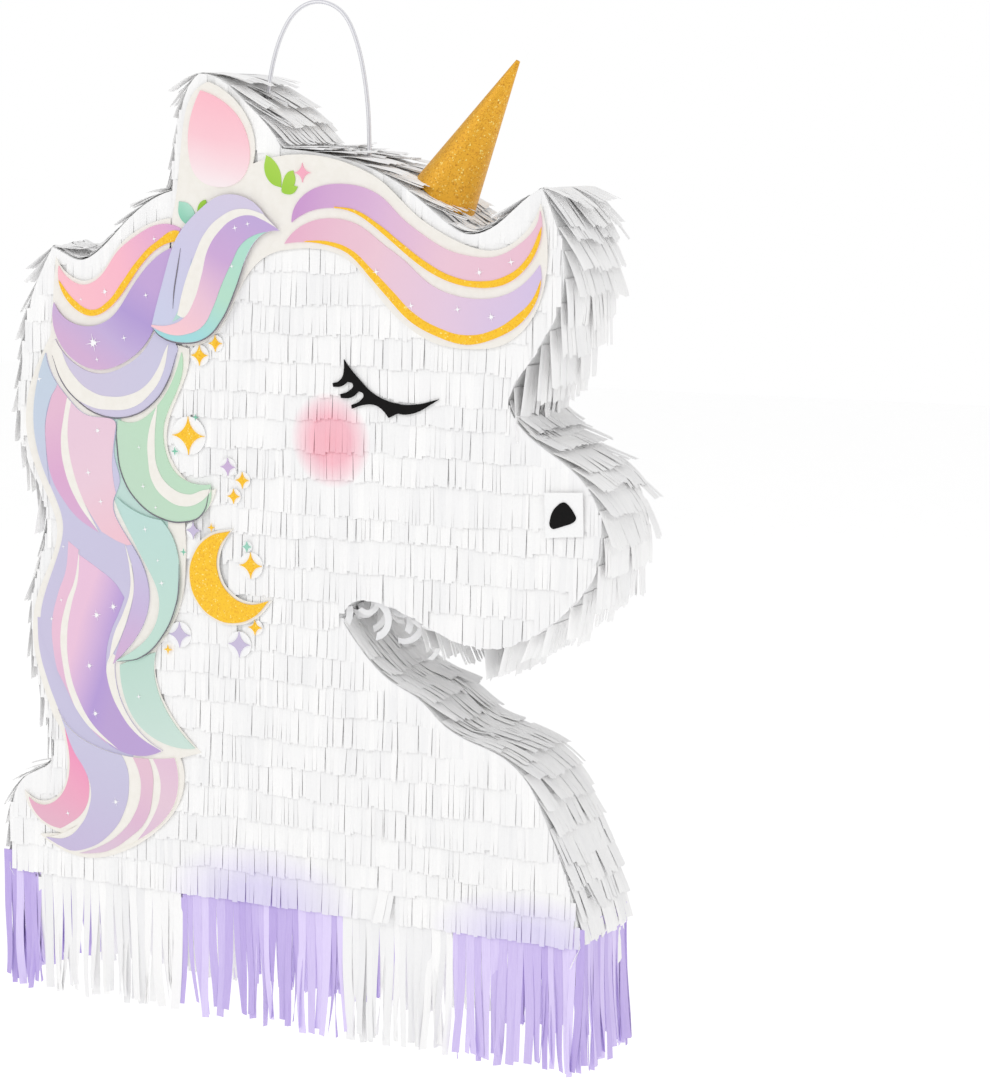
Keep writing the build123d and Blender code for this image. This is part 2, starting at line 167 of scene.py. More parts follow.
grey_card = speckled("grey_card", (0.93, 0.92, 0.905), (0.88, 0.865, 0.84), 0.9, 500, 900, 0.00008)
white_card = speckled("white_card", (0.96, 0.96, 0.96), (0.93, 0.93, 0.93), 0.7)
patch_white = speckled("patch_white", (0.985, 0.985, 0.985), (0.975, 0.975, 0.975), 0.8)
cream_print = speckled("cream_print", (0.962, 0.948, 0.922), (0.95, 0.935, 0.905), 0.55, 300)
print("plain papers ready")

# %% [markdown]
# ## Printed gradients
# Each lock of the mane fades from one pastel to another. A direction across the card, measured in
# millimetres, picks the place in a colour ramp: the object position is dotted with that direction
# and mapped to 0..1 between the two ends.

# %% Printed gradients


def graded(name, start, end, colours, roughness=0.5):
    """Printed paper that fades through the colours from one card point to another."""
    material, tree, shader, place = new_material(name, roughness, 1200.0, 0.00002, 0.15)
    shader.inputs["Coat Roughness"].default_value = 0.35
    first, last = at(*start), at(*end)
    run = last - first
    across = tree.nodes.new("ShaderNodeVectorMath")
    across.operation = "DOT_PRODUCT"
    across.inputs[1].default_value = run / run.length_squared
    tree.links.new(place.outputs["Object"], across.inputs[0])
    drift = tree.nodes.new("ShaderNodeTexNoise")
    drift.inputs["Scale"].default_value = 35.0
    drift.inputs["Detail"].default_value = 1.0
    tree.links.new(place.outputs["Object"], drift.inputs["Vector"])
    soften = tree.nodes.new("ShaderNodeMath")
    soften.operation = "MULTIPLY_ADD"
    soften.inputs[1].default_value = 0.16
    tree.links.new(drift.outputs["Fac"], soften.inputs[0])
    tree.links.new(across.outputs["Value"], soften.inputs[2])
    shift = first.dot(run) / run.length_squared + 0.08
    span = tree.nodes.new("ShaderNodeMapRange")
    span.inputs["From Min"].default_value = shift
    span.inputs["From Max"].default_value = shift + 1.0
    tree.links.new(soften.outputs["Value"], span.inputs["Value"])
    stops = [(i / (len(colours) - 1), srgb(*colour)) for i, colour in enumerate(colours)]
    ramp = ramp_node(tree, stops)
    tree.links.new(span.outputs["Result"], ramp.inputs["Fac"])
    tree.links.new(ramp.outputs["Color"], shader.inputs["Base Color"])
    return material


LAVENDER = (0.800, 0.790, 0.888)
BLUE_GREY = (0.775, 0.828, 0.888)
ORCHID = (0.872, 0.672, 0.822)
print("gradient helper ready")

# %% [markdown]
# ## Gold glitter and gold foil
# The moon, the stars and the thin gold edges are printed in glitter: small cells of slightly
# different gold, the palest few painted in as glints. The horn is a heavier gold paper, embossed
# with a fine leather-like grain, so its cells also drive the bump; it has the same painted glints.

# %% Gold papers


def gold_paper(name, light, dark, cell, metal, roughness, height):
    """Gold paper whose cells differ in tone and stand out as a fine grain; the palest cells are painted
    glints.
    """
    material, tree, shader, place = new_material(name, roughness, 900.0, 0.00001)
    shader.inputs["Metallic"].default_value = metal
    cells = tree.nodes.new("ShaderNodeTexVoronoi")
    cells.inputs["Scale"].default_value = 1.0 / (cell * MM)
    tree.links.new(place.outputs["Object"], cells.inputs["Vector"])
    # painted glints: the last stop turns the palest cells pale gold, as if those flakes caught the light
    tones_and_glints = [(0.0, srgb(*dark)), (0.40, srgb(*light)), (0.82, srgb(*light)), (0.95, srgb(1.0, 0.92, 0.55))]
    ramp = ramp_node(tree, tones_and_glints)
    tree.links.new(cells.outputs["Color"], ramp.inputs["Fac"])
    tree.links.new(ramp.outputs["Color"], shader.inputs["Base Color"])
    emboss = tree.nodes.new("ShaderNodeBump")
    emboss.inputs["Distance"].default_value = height
    tree.links.new(cells.outputs["Distance"], emboss.inputs["Height"])
    tree.links.new(emboss.outputs["Normal"], shader.inputs["Normal"])
    return material


gold_glitter = gold_paper("gold_glitter", (0.995, 0.785, 0.11), (0.94, 0.665, 0.04), 0.62, 0.0, 0.45, 0.00003)
gold_foil = gold_paper("gold_foil", (0.93, 0.69, 0.18), (0.76, 0.50, 0.08), 0.62, 0.35, 0.42, 0.00014)
black_print = speckled("black_print", (0.055, 0.048, 0.048), (0.03, 0.027, 0.027), 0.6, 700, 1400, 0.00002)
black_print.node_tree.nodes["Principled BSDF"].inputs["Specular IOR Level"].default_value = 0.15
line_ink = speckled("line_ink", (0.50, 0.48, 0.52), (0.42, 0.40, 0.45), 0.6)
lime_print = graded("lime_print", (160, 346), (170, 364), [(0.60, 0.80, 0.20), (0.70, 0.86, 0.32)])
leaf_mint = graded("leaf_mint", (112, 330), (120, 340), [(0.50, 0.79, 0.68), (0.72, 0.90, 0.82)])
sparkle_white = speckled("sparkle_white", (1.0, 1.0, 1.0), (0.985, 0.98, 0.99), 0.6)
print("gold, black and leaf papers ready")

# %% [markdown]
# ## Tissue paper
# White tissue is thin and soft, and has almost no shine. Its colour is the strip's own tone mixed
# with faint fibres along the strip, and a shallow, broad bump crumples it. Scattering inside the
# paper would tint a white this bright, so it is left out. On the front the cheek's blush is
# dusted over the rows, and violet from the skirt colours the lowest white rows: both are soft
# ovals that multiply the tissue's colour, fading to nothing at their rim.

# %% Tissue


def tissue_paper(name, light, shade, tints=()):
    """Crepe-like tissue: tone per strip, fibres down its length, soft crumples, then any tints."""
    material, tree, shader, place = new_material(name, 0.85, 260.0, 0.00022)
    shader.inputs["Specular IOR Level"].default_value = 0.25
    uv = tree.nodes.new("ShaderNodeUVMap")
    uv.uv_map = "strip"
    squeeze = tree.nodes.new("ShaderNodeMapping")
    squeeze.inputs["Scale"].default_value = (2600.0, 90.0, 1.0)
    tree.links.new(uv.outputs["UV"], squeeze.inputs["Vector"])
    fibre = tree.nodes.new("ShaderNodeTexNoise")
    fibre.inputs["Scale"].default_value = 1.0
    fibre.inputs["Detail"].default_value = 2.0
    tree.links.new(squeeze.outputs["Vector"], fibre.inputs["Vector"])
    tone = tree.nodes.new("ShaderNodeAttribute")
    tone.attribute_name = "tone"
    mixed = tree.nodes.new("ShaderNodeMath")
    mixed.operation = "MULTIPLY_ADD"
    mixed.inputs[1].default_value = 0.35
    tree.links.new(fibre.outputs["Fac"], mixed.inputs[0])
    tree.links.new(tone.outputs["Fac"], mixed.inputs[2])
    ramp = ramp_node(tree, [(0.15, srgb(*shade)), (1.0, srgb(*light))])
    tree.links.new(mixed.outputs["Value"], ramp.inputs["Fac"])
    colour = ramp.outputs["Color"]
    for tint in tints:
        layer = tree.nodes.new("ShaderNodeMix")
        layer.data_type = "RGBA"
        layer.blend_type = "MULTIPLY"
        layer.inputs[0].default_value = 1.0
        tree.links.new(colour, layer.inputs[6])
        tree.links.new(oval_tint(tree, place, *tint), layer.inputs[7])
        colour = layer.outputs[2]
    tree.links.new(colour, shader.inputs["Base Color"])
    return material


def oval_tint(tree, place, middle, size, tilt, stops):
    """A colour that depends on how far a place is from the middle of a tilted oval."""
    frame_of_oval = tree.nodes.new("ShaderNodeMapping")
    frame_of_oval.vector_type = "TEXTURE"
    frame_of_oval.inputs["Location"].default_value = at(*middle)
    frame_of_oval.inputs["Rotation"].default_value = (0.0, math.radians(tilt), 0.0)
    frame_of_oval.inputs["Scale"].default_value = (size[0] * MM, 1.0, size[1] * MM)
    tree.links.new(place.outputs["Object"], frame_of_oval.inputs["Vector"])
    flatten = tree.nodes.new("ShaderNodeVectorMath")
    flatten.operation = "MULTIPLY"
    flatten.inputs[1].default_value = (1.0, 0.0, 1.0)
    tree.links.new(frame_of_oval.outputs["Vector"], flatten.inputs[0])
    distance = tree.nodes.new("ShaderNodeVectorMath")
    distance.operation = "LENGTH"
    tree.links.new(flatten.outputs["Vector"], distance.inputs[0])
    ramp = ramp_node(tree, [(where, srgb(*colour)) for where, colour in stops])
    tree.links.new(distance.outputs["Value"], ramp.inputs["Fac"])
    return ramp.outputs["Color"]


BLUSH = ((193, 229.5), (21.5, 23.0), -18, [
    (0.0, (1.0, 0.745, 0.790)), (0.48, (1.0, 0.772, 0.818)), (0.78, (1.0, 0.890, 0.912)),
        (1.0, (1.0, 1.0, 1.0)),
])
VIOLET_GLOW = [(0.3, (0.90, 0.875, 0.985)), (0.75, (0.965, 0.955, 0.995)), (1.0, (1.0, 1.0, 1.0))]
MIDDLE_GLOW = ((151, 0), (56.0, 30.0), 0, VIOLET_GLOW)
CHEST_GLOW = ((296, 0), (52.0, 24.0), 0, VIOLET_GLOW)
WHITE, WHITE_SHADE = (1.0, 0.998, 0.996), (0.93, 0.93, 0.936)
white_tissue = tissue_paper("white_tissue", WHITE, WHITE_SHADE)
front_white_tissue = tissue_paper("front_white_tissue", WHITE, WHITE_SHADE, [BLUSH, MIDDLE_GLOW, CHEST_GLOW])
violet_tissue = tissue_paper("violet_tissue", (0.905, 0.855, 1.0), (0.68, 0.585, 0.87))
print("tissue ready")

# %% [markdown]
# ## The hanging cord
# A white cord is knotted inside the ear, leaves it through a slot, makes one tall loop and goes
# back in through the crown. A cord is a smooth line of a fixed length, so it is one NURBS spline
# through listed control points, given a round section by its bevel.

# %% Hanging cord
LOOP_ROUTE = [
    (143.5, 381.6), (146.0, 397.0), (150.5, 413.5), (158.0, 427.0), (167.5, 433.2), (178.5, 433.2),
    (188.5, 427.0), (195.0, 412.0), (198.8, 393.0), (200.3, 373.5), (200.0, 353.8),
]
CORD_DIAMETER = 2.0 * MM


def new_object(name, data):
    """An object in the scene that holds the mesh or the curve."""
    made = bpy.data.objects.new(name, data)
    bpy.context.collection.objects.link(made)
    return made


cord_line = bpy.data.curves.new("hanging_cord", "CURVE")
cord_line.dimensions = "3D"
cord_spline = cord_line.splines.new("NURBS")
cord_spline.points.add(len(LOOP_ROUTE) - 1)
for point, (x, z) in zip(cord_spline.points, LOOP_ROUTE):
    point.co = (*at(x, z), 1.0)
cord_spline.order_u = 3
cord_spline.use_endpoint_u = True
cord_line.resolution_u = 14
cord_line.bevel_depth = CORD_DIAMETER / 2
cord_line.bevel_resolution = 5
hanging_cord = new_object("hanging_cord", cord_line)

cord_white, tree, shader, place = new_material("cord_white", 0.45, 1500.0, 0.00003, 0.2)
# painted shade: bands across the cord's thickness draw grey lines along it, the shade in the grooves between
# its threads
thread_groove_shade = tree.nodes.new("ShaderNodeTexWave")
thread_groove_shade.bands_direction = "Y"
thread_groove_shade.inputs["Scale"].default_value = 420.0
tree.links.new(place.outputs["Object"], thread_groove_shade.inputs["Vector"])
ramp = ramp_node(tree, [(0.2, srgb(0.80, 0.80, 0.83)), (0.7, srgb(0.955, 0.955, 0.965))])
tree.links.new(thread_groove_shade.outputs["Fac"], ramp.inputs["Fac"])
tree.links.new(ramp.outputs["Color"], shader.inputs["Base Color"])
cord_line.materials.append(cord_white)

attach(hanging_cord, "hanger")
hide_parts("hanging_loop")
print("cord with", len(LOOP_ROUTE), "control points")

# %% [markdown]
# ## The outline as a path
# Tissue rows need to know where the card's edge is. The front panel's flat face has one outer
# edge: the edges that belong to only one triangle of that face. They are chained into a loop,
# turned anticlockwise, and then measured out in even steps, with a direction and an outward normal
# at each step.

# %% Walk round the front panel
STEP = 1.0 * MM


def face_rim(name, depth):
    """The outer edge of a panel's face at that depth, as (x, z) points in order."""
    sheet = bmesh.new()
    sheet.from_mesh(nodes[name].data)
    bmesh.ops.remove_doubles(sheet, verts=sheet.verts, dist=1e-6)
    flat = [face for face in sheet.faces if all(abs(v.co.y - depth) < 2e-5 for v in face.verts)]
    count = {}
    for face in flat:
        for edge in face.edges:
            count[edge] = count.get(edge, 0) + 1
    links = {}
    for edge, used in count.items():
        if used == 1:
            a, b = edge.verts
            links.setdefault(a, []).append(b)
            links.setdefault(b, []).append(a)
    loops, seen = [], set()
    for start in links:
        if start in seen:
            continue
        loop, before, here = [], None, start
        while here not in seen:
            seen.add(here)
            loop.append((here.co.x, here.co.z))
            onward = [v for v in links[here] if v is not before and v not in seen]
            if not onward:
                break
            before, here = here, onward[0]
        loops.append(loop)
    sheet.free()
    rim = max(loops, key=lambda loop: max(p[0] for p in loop) - min(p[0] for p in loop))
    area = sum(a[0] * b[1] - b[0] * a[1] for a, b in zip(rim, rim[1:] + rim[:1]))
    return rim if area > 0 else rim[::-1]


def even_steps(rim):
    """The rim as points one step apart."""
    points, left = [], 0.0
    for a, b in zip(rim, rim[1:] + rim[:1]):
        a, b = Vector((a[0], 0, a[1])), Vector((b[0], 0, b[1]))
        length = (b - a).length
        while left < length:
            points.append(a.lerp(b, left / length))
            left += STEP
        left -= length
    return points


rim = face_rim("front_panel", panel_front)
edge_points = even_steps(rim)
EDGE = len(edge_points)


def edge_at(place):
    """Point, direction and outward normal at a place along the edge, in steps."""
    i = int(math.floor(place)) % EDGE
    share = place - math.floor(place)
    here = edge_points[i].lerp(edge_points[(i + 1) % EDGE], share)
    ahead = edge_points[(i + 3) % EDGE] - edge_points[(i - 3) % EDGE]
    ahead.normalize()
    return here, ahead, Vector((ahead.z, 0.0, -ahead.x))


print("rim points", len(rim), "edge length", EDGE, "mm")

# %% [markdown]
# ## Strips of tissue
# A strip is a narrow grid: a few points down its length, two or three across. Thousands of them
# are too many to place by hand, so one routine collects them into a single mesh, with the UV map
# and the tone that the material reads. A thin Solidify at the end makes each a closed sheet.

# %% A mesh made of strips
TISSUE_THICK = 0.12 * MM


def select_only(piece):
    """Makes this the only piece that the next operator acts on."""
    bpy.ops.object.select_all(action="DESELECT")
    piece.select_set(True)
    bpy.context.view_layer.objects.active = piece


class StripMesh:
    """Collects strips of tissue for one piece."""

    def __init__(self):
        self.verts, self.faces, self.uvs, self.tones = [], [], [], []

    def add(self, line, across, widths, tone, bow=None, cut=0.0, top_cut=0.0):
        """Adds one strip along a line of centre points.

        across: unit vectors. bow: lift of the middle. cut, top_cut: slant of the two ends.
        """
        columns = 2 if bow is None else 3
        start = len(self.verts)
        offset_u = random.random() * 7.0
        run = 0.0
        for i, (centre, side, width) in enumerate(zip(line, across, widths)):
            if i:
                run += (centre - line[i - 1]).length
            for c in range(columns):
                share = c / (columns - 1) - 0.5
                point = centre + side * (share * width)
                if cut and i == len(line) - 1:
                    point = point + (centre - line[i - 1]).normalized() * (share * cut)
                if top_cut and i == 0:
                    point = point + (line[1] - centre).normalized() * (share * top_cut)
                if bow is not None and c == 1:
                    point = point + bow[i]
                self.verts.append(point)
                self.uvs.append((offset_u + share * width, run))
                self.tones.append(tone)
        for i in range(len(line) - 1):
            for c in range(columns - 1):
                a = start + i * columns + c
                self.faces.append((a, a + 1, a + 1 + columns, a + columns))

    def build(self, name, material, body, slot, replaced, thickness=TISSUE_THICK):
        """Makes the object, gives it a thickness and puts it on its body."""
        mesh = bpy.data.meshes.new(name)
        mesh.from_pydata(self.verts, [], self.faces)
        uv_layer = mesh.uv_layers.new(name="strip")
        for loop in mesh.loops:
            uv_layer.data[loop.index].uv = self.uvs[loop.vertex_index]
        tone = mesh.attributes.new("tone", "FLOAT", "POINT")
        tone.data.foreach_set("value", self.tones)
        piece = new_object(name, mesh)
        mesh.materials.append(material)
        select_only(piece)
        thicken = piece.modifiers.new("thickness", "SOLIDIFY")
        thicken.thickness = thickness
        thicken.offset = 0.0
        bpy.ops.object.modifier_apply(modifier=thicken.name)
        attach(piece, body)
        if replaced:
            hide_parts(*replaced)
        print(name, "faces", len(piece.data.polygons))
        return piece


# %% [markdown]
# ## Rows on the two panels
# Each row is a band of tissue glued along its top edge, with slits cut up from the bottom. The row
# above hangs over its glued edge. A row is laid as blocks of three to nine strips that were cut
# together, so they lift and slide together, and now and then one block is folded aside.
# Where a printed card lies on the tissue, the strips stay flat, and hidden ones are left out.

# %% Rows on the panels
ROW_PITCH = 14.0 * MM
ROW_LENGTH = 21.0 * MM
FLAT_DEPTH = 1.0 * MM  # how far the fringed end stands off the panel
DOOR_LEFT, DOOR_RIGHT = 112.0, 202.0
DOOR_BOTTOM, DOOR_TOP = 198.0, 268.0

CARD_NODES = [
    "crown_card", "mane_card", "moon_backing", "eye_card", "nostril_backing", "star_backings",
]
card_verts, card_faces = [], []
for name in CARD_NODES:
    start = len(card_verts)
    card_verts += [v.co.copy() for v in nodes[name].data.vertices]
    card_faces += [tuple(start + i for i in face.vertices) for face in nodes[name].data.polygons]
card_tree = BVHTree.FromPolygons(card_verts, card_faces)


def under_card(x, z):
    """Whether a printed card covers this place on the front."""
    hit = card_tree.ray_cast(Vector((x, tissue_front + 0.2 * MM, z)), Vector((0, -1, 0)), 3 * MM)
    return hit[0] is not None


def spans_at(x):
    """The heights between which the panel exists at this x."""
    crossings = []
    for a, b in zip(rim, rim[1:] + rim[:1]):
        if (a[0] <= x) != (b[0] <= x):
            crossings.append(a[1] + (b[1] - a[1]) * (x - a[0]) / (b[0] - a[0]))
    crossings.sort()
    return list(zip(crossings[::2], crossings[1::2]))


def edge_rise(x, width, z):
    """How much the outline near height z rises across a strip."""
    levels = []
    for side in (-0.5, 0.5):
        ends = [end for span in spans_at(x + side * width) for end in span]
        levels.append(min(ends, key=lambda end: abs(end - z)) if ends else z)
    rise = levels[1] - levels[0]
    return rise if abs(rise) < 3.0 * width else 0.0


def strip_extent(x, width, low, high, overhang):
    """The strip cut to the panel, with the slants of its ends; nothing where it has no panel."""
    for bottom, top in spans_at(x):
        if bottom < low + ROW_PITCH and low + ROW_PITCH * 0.3 < top:
            cut = top_cut = 0.0
            if top - 0.2 * MM < high:
                high = top - 0.2 * MM
                top_cut = -edge_rise(x, width, top)
            if low - bottom < ROW_PITCH * 0.5:
                low = bottom - overhang
                cut = -edge_rise(x, width, bottom)
            if high - low > 4 * MM:
                return low, high, cut, top_cut
    return None


def panel_rows(out, glue_y, meshes, seed):
    """Rows of blocks of strips over one panel. out is -1 for the front and 1 for the back."""
    random.seed(seed)
    left = min(p[0] for p in rim) - 1 * MM
    right = max(p[0] for p in rim) + 1 * MM
    row_count = int((max(p[1] for p in rim) - base_corner.z) / ROW_PITCH) + 1
    for row in range(row_count):
        slope = random.uniform(-0.012, 0.004)
        wave = random.uniform(0, 6.3)
        x = left + random.uniform(0, 3 * MM)
        while x < right:
            block = random.randint(3, 9)
            lift = random.choice([0.0, 0.05, 0.1, 0.18, 0.3, 0.5]) * MM
            x -= 0.35 * MM
            drop = random.uniform(-0.8, 1.0) * MM
            slant = random.gauss(0, 0.015)
            folded = random.random() < 0.025
            if folded:
                block = random.randint(2, 3)
                lift, slant = random.uniform(1.2, 2.6) * MM, random.uniform(-0.12, 0.18)
            tone = random.uniform(0.50, 0.72)
            for _ in range(block):
                width = random.uniform(1.5, 3.2) * MM
                centre = x + width / 2
                x += width * 0.985
                low = base_corner.z + row * ROW_PITCH + slope * (centre - left)
                low += 0.8 * MM * math.sin(centre * 25 + wave)
                tip = low - drop + random.gauss(0, 0.4) * MM
                found = strip_extent(centre, width, tip, low + ROW_LENGTH, random.uniform(0.3, 1.3) * MM)
                turn = random.gauss(0, 0.09)
                own_slant = slant + random.gauss(0, 0.014)
                strip_tone = tone + random.gauss(0, 0.08)
                if found:
                    lay_strip(meshes, out, glue_y, centre, found, width, lift, own_slant, turn, strip_tone)


def lay_strip(meshes, out, glue_y, centre, extent, width, lift, slant, turn, tone):
    """One strip on a panel, on the door where the door is."""
    low, high, cut, top_cut = extent
    if out < 0:
        covered = [under_card(centre, low + share * (high - low)) for share in (0.02, 0.3, 0.6)]
        if all(covered) and under_card(centre + 4 * MM, low) and under_card(centre - 4 * MM, low):
            return
        if any(covered):
            lift, turn = 0.0, turn * 0.4
    parts = [("shell", low, high)]
    door_top = base_corner.z + DOOR_TOP * MM
    door_bottom = base_corner.z + DOOR_BOTTOM * MM
    if out > 0 and at(DOOR_LEFT, 0).x < centre < at(DOOR_RIGHT, 0).x:
        if low < door_top < high:
            parts = [("shell", door_top + 0.4 * MM, high), ("filling_door", low, door_top - 0.4 * MM)]
        elif door_bottom + 4 * MM < high <= door_top:
            parts = [("filling_door", low, high)]
        elif high > door_bottom and low < door_bottom:
            parts = [("shell", low, door_bottom - 0.4 * MM)]
    for body, bottom, top in parts:
        if top - bottom < 2 * MM or body not in meshes:
            continue
        line, across, widths = [], [], []
        for share in (0.0, 0.35, 0.7, 1.0):
            z = top + (bottom - top) * share
            reach = max(0.0, (high - z) / ROW_LENGTH)
            stand = 0.12 * MM + FLAT_DEPTH * 0.85 * min(1.0, reach) + lift * reach**2
            line.append(Vector((centre + slant * (z - high), glue_y + out * stand, z)))
            angle = turn * min(1.0, reach)
            across.append(Vector((math.cos(angle), out * math.sin(angle), 0.0)))
            widths.append(width * (1.0 if share < 0.8 else 0.965))
        low_slant = cut if bottom == low else 0.0
        high_slant = top_cut if top == high else 0.0
        meshes[body].add(line, across, widths, tone, cut=low_slant, top_cut=high_slant)


front_rows = StripMesh()
panel_rows(-1, panel_front, {"shell": front_rows}, seed=11)
front_rows.build("front_tissue", front_white_tissue, "shell", "white_tissue", ["front_fringe", "cheek_patch"])

back_rows, door_rows = StripMesh(), StripMesh()
panel_rows(1, panel_back, {"shell": back_rows, "filling_door": door_rows}, seed=12)
back_rows.build("back_tissue", white_tissue, "shell", "white_tissue", ["back_fringe"])
door_rows.build("door_tissue", white_tissue, "filling_door", "white_tissue", ["flap_fringe"])

# %% [markdown]
# ## Rows round the edge
# On the narrow edge of the box the rows run across the depth, and their fringes point downhill.
# Each strip follows the outline for a little way, then its own stiffness carries it off the curve,
# so the outline looks ragged. Under the jaw there is nothing to lie on, and the strips hang.
# The edge is split at the outline's corners into the stretches that the card has.

# %% Rows round the edge
CORNERS = {
    "chest": ((322, 0), (197, 146)), "jaw": ((197, 146), (285, 251)), "brow": ((285, 251), (302, 348)),
    "crown": ((302, 348), (168, 365)), "ear_front": ((168, 365), (123, 400)),
    "ear_back": ((123, 400), (107, 345)), "poll": ((107, 345), (37, 317)),
    "nape": ((37, 317), (31, 66)), "lobe": ((31, 66), (2, 0)),
}
EDGE_PITCH = 13.0
EDGE_SPANS = 6  # a strip is this many pieces long
THROAT_X = 236  # below the jaw, up to here, the front is left free for the curls
THROAT_ROWS_FROM = -13 * MM


def nearest_step(x, z):
    """The place along the edge nearest to a card point."""
    target = at(x, z)
    return min(range(EDGE), key=lambda i: (edge_points[i] - target).length)


def edge_strip(place, sign, y, length, lift, curl, hang):
    """Centre points of one strip that starts on the edge and runs downhill along it."""
    start, ahead, normal = edge_at(place)
    forward = ahead * sign
    hanging = normal.z < -0.15
    if hanging:
        drop = min(1.0, -normal.z) * 0.55 + 0.4 * max(0.0, 1.0 - abs(ahead.z) / 0.35)
        forward = (forward * (1.0 - drop) + Vector((0, 0, -drop))).normalized()
    line = []
    for i in range(EDGE_SPANS + 1):
        run = length * i / EDGE_SPANS
        follow, _, follow_normal = edge_at(place + sign * run / STEP)
        free = start + forward * run + normal * (0.5 * MM + lift * run)
        surface = follow + follow_normal * (0.5 * MM + 0.45 * lift * run)
        outside = (free - follow).dot(follow_normal)
        point = free.lerp(surface, 0.45) if outside > 0.5 * MM else surface
        if hanging:
            point = free
        share = i / EDGE_SPANS
        point = point + normal * (curl * share**2) + Vector((0, 0, -hang * share**1.6))
        line.append(Vector((point.x, y, point.z)))
    return line


def edge_rows(name, seed, lift_mean, length_mean, hang_mean):
    """All strips along one stretch."""
    random.seed(seed)
    first, last = (nearest_step(*corner) for corner in CORNERS[name])
    if last < first:
        last += EDGE
    strips = StripMesh()
    count = int((last - first) / EDGE_PITCH) + 1
    places = [first + (last - first) * (i + random.uniform(0.35, 0.65)) / count for i in range(count)]
    for place in [first + 1.5, last - 1.5, *places]:
        here, ahead, normal = edge_at(place)
        sign = -1 if ahead.z > 0 else 1
        y = panel_front - 0.9 * MM + random.uniform(0, 2) * MM
        if name == "jaw" and here.x < at(THROAT_X, 0).x:
            y = THROAT_ROWS_FROM
        row_lift = abs(random.gauss(lift_mean, lift_mean * 0.2))
        while y < panel_back + 0.6 * MM:
            # one block of strips that were cut together
            length = length_mean * random.uniform(0.92, 1.05)
            lift = max(0.02, row_lift + random.gauss(0, 0.03))
            curl = random.gauss(0.2, 0.7) * MM
            hang = max(0.0, random.gauss(hang_mean, hang_mean * 0.3)) * (1.0 if normal.z < -0.15 else 0.1)
            tone = random.uniform(0.52, 0.72)
            sway = random.gauss(0, 0.07)
            drift = random.gauss(0, 0.6) * MM
            start = place + random.uniform(-1.0, 1.0)
            stray = random.random() < 0.10
            if stray:
                lift, sway, drift = lift + 0.12, random.gauss(0, 0.3), random.gauss(0, 2.2) * MM
            for _ in range(random.randint(1, 2) if stray else random.randint(3, 6)):
                width = random.uniform(2.3, 4.4) * MM
                if y > panel_back + 0.6 * MM:
                    break
                centre = y + width / 2
                y += width * 0.97
                reach = length * random.uniform(0.94, 1.04) * (0.62 if normal.z < -0.6 else 1.0)
                own_lift = lift + random.gauss(0, 0.022)
                line = edge_strip(start, sign, centre, reach, own_lift, curl, hang)
                own_sway = sway + random.gauss(0, 0.12)
                across, bow, widths = [], [], []
                for i, point in enumerate(line):
                    share = i / EDGE_SPANS
                    line[i] = point + Vector((0, (drift + random.gauss(0, 0.05) * MM) * share, 0))
                    turn = own_sway * share
                    tilt = normal * math.sin(turn) + Vector((0, 1, 0)) * math.cos(turn)
                    across.append(tilt.normalized())
                    bow.append(normal * (0.2 * MM * share * (1 if own_sway > 0 else -1)))
                    widths.append(width * (0.99 - 0.05 * share))
                cut = random.gauss(0, 0.8) * MM
                strips.add(line, across, widths, tone + random.gauss(0, 0.06), bow, cut)
    return strips


EDGE_STRETCHES = [
    # name, seed, lift, length in mm, hang in mm
    ("chest", 21, 0.10, 20, 1), ("jaw", 22, 0.24, 18, 2), ("brow", 23, 0.40, 22, 1),
    ("crown", 24, 0.11, 21, 0), ("ear_front", 25, 0.15, 22, 0), ("ear_back", 26, 0.20, 20, 0),
    ("poll", 27, 0.13, 21, 0), ("nape", 28, 0.21, 21, 0), ("lobe", 29, 0.15, 21, 0),
]
for name, seed, lift, length, hang in EDGE_STRETCHES:
    strips = edge_rows(name, seed, lift, length * MM, hang * MM)
    strips.build(f"{name}_tissue", white_tissue, "shell", "white_tissue", [f"{name}_fringe"])

# %% [markdown]
# ## Curls in the throat
# Where the jaw meets the chest the tissue has nowhere to lie, and a few strips stand off in loose
# curls. Each curl is drawn as a hand would: a start point under the jaw and a heading that keeps
# turning as the strip runs on.

# %% Throat curls
CURLS = 32
CURL_SPANS = 9
random.seed(51)
curls = StripMesh()
for _ in range(CURLS):
    x = random.uniform(199, 246)
    place = nearest_step(x, 150)
    start, ahead, normal = edge_at(place)
    y = random.uniform(-27, -9) * MM
    heading = math.radians(random.uniform(-85, 5))
    bend = math.radians(random.choice([-1, -1, 1]) * random.uniform(70, 200)) / CURL_SPANS
    sideways = random.gauss(-0.1, 0.25)
    face_turn = random.uniform(0.5, 1.3)
    length = random.uniform(12, 24) * MM / CURL_SPANS
    point = Vector((start.x, y, start.z)) + normal * 0.6 * MM
    line, across, widths, bow = [], [], [], []
    for k in range(CURL_SPANS + 1):
        line.append(point.copy())
        level = Vector((-math.sin(heading), 0, math.cos(heading)))
        turn = face_turn + 0.06 * k
        across.append(level * math.sin(turn) + Vector((0, math.cos(turn), 0)))
        bow.append(level * 0.3 * MM)
        widths.append(random.uniform(2.2, 3.7) * MM if k == 0 else widths[0])
        point = point + Vector((math.cos(heading), sideways * 0.5, math.sin(heading))) * length
        heading += bend
    curls.add(line, across, widths, random.uniform(0.1, 0.7), bow, random.gauss(0, 1.5) * MM)
curls.build("throat_curls", white_tissue, "shell", "white_tissue", [])

# %% [markdown]
# ## The skirt
# Long strips of violet and white tissue hang below the base, all round. Each is a ribbon cut from
# a folded band, so it starts flat and straight, then waves and twists a little as it hangs, and
# the ends are cut at slightly different heights.

# %% Skirt
SKIRT_TOP = 9.0 * MM
SKIRT_LENGTH = 70.0 * MM
RIBBON_SPANS = 11
BANDS = [("violet", -2, 19), ("white", 19, 105), ("violet", 105, 197), ("white", 197, 256),
    ("violet", 256, 323)]


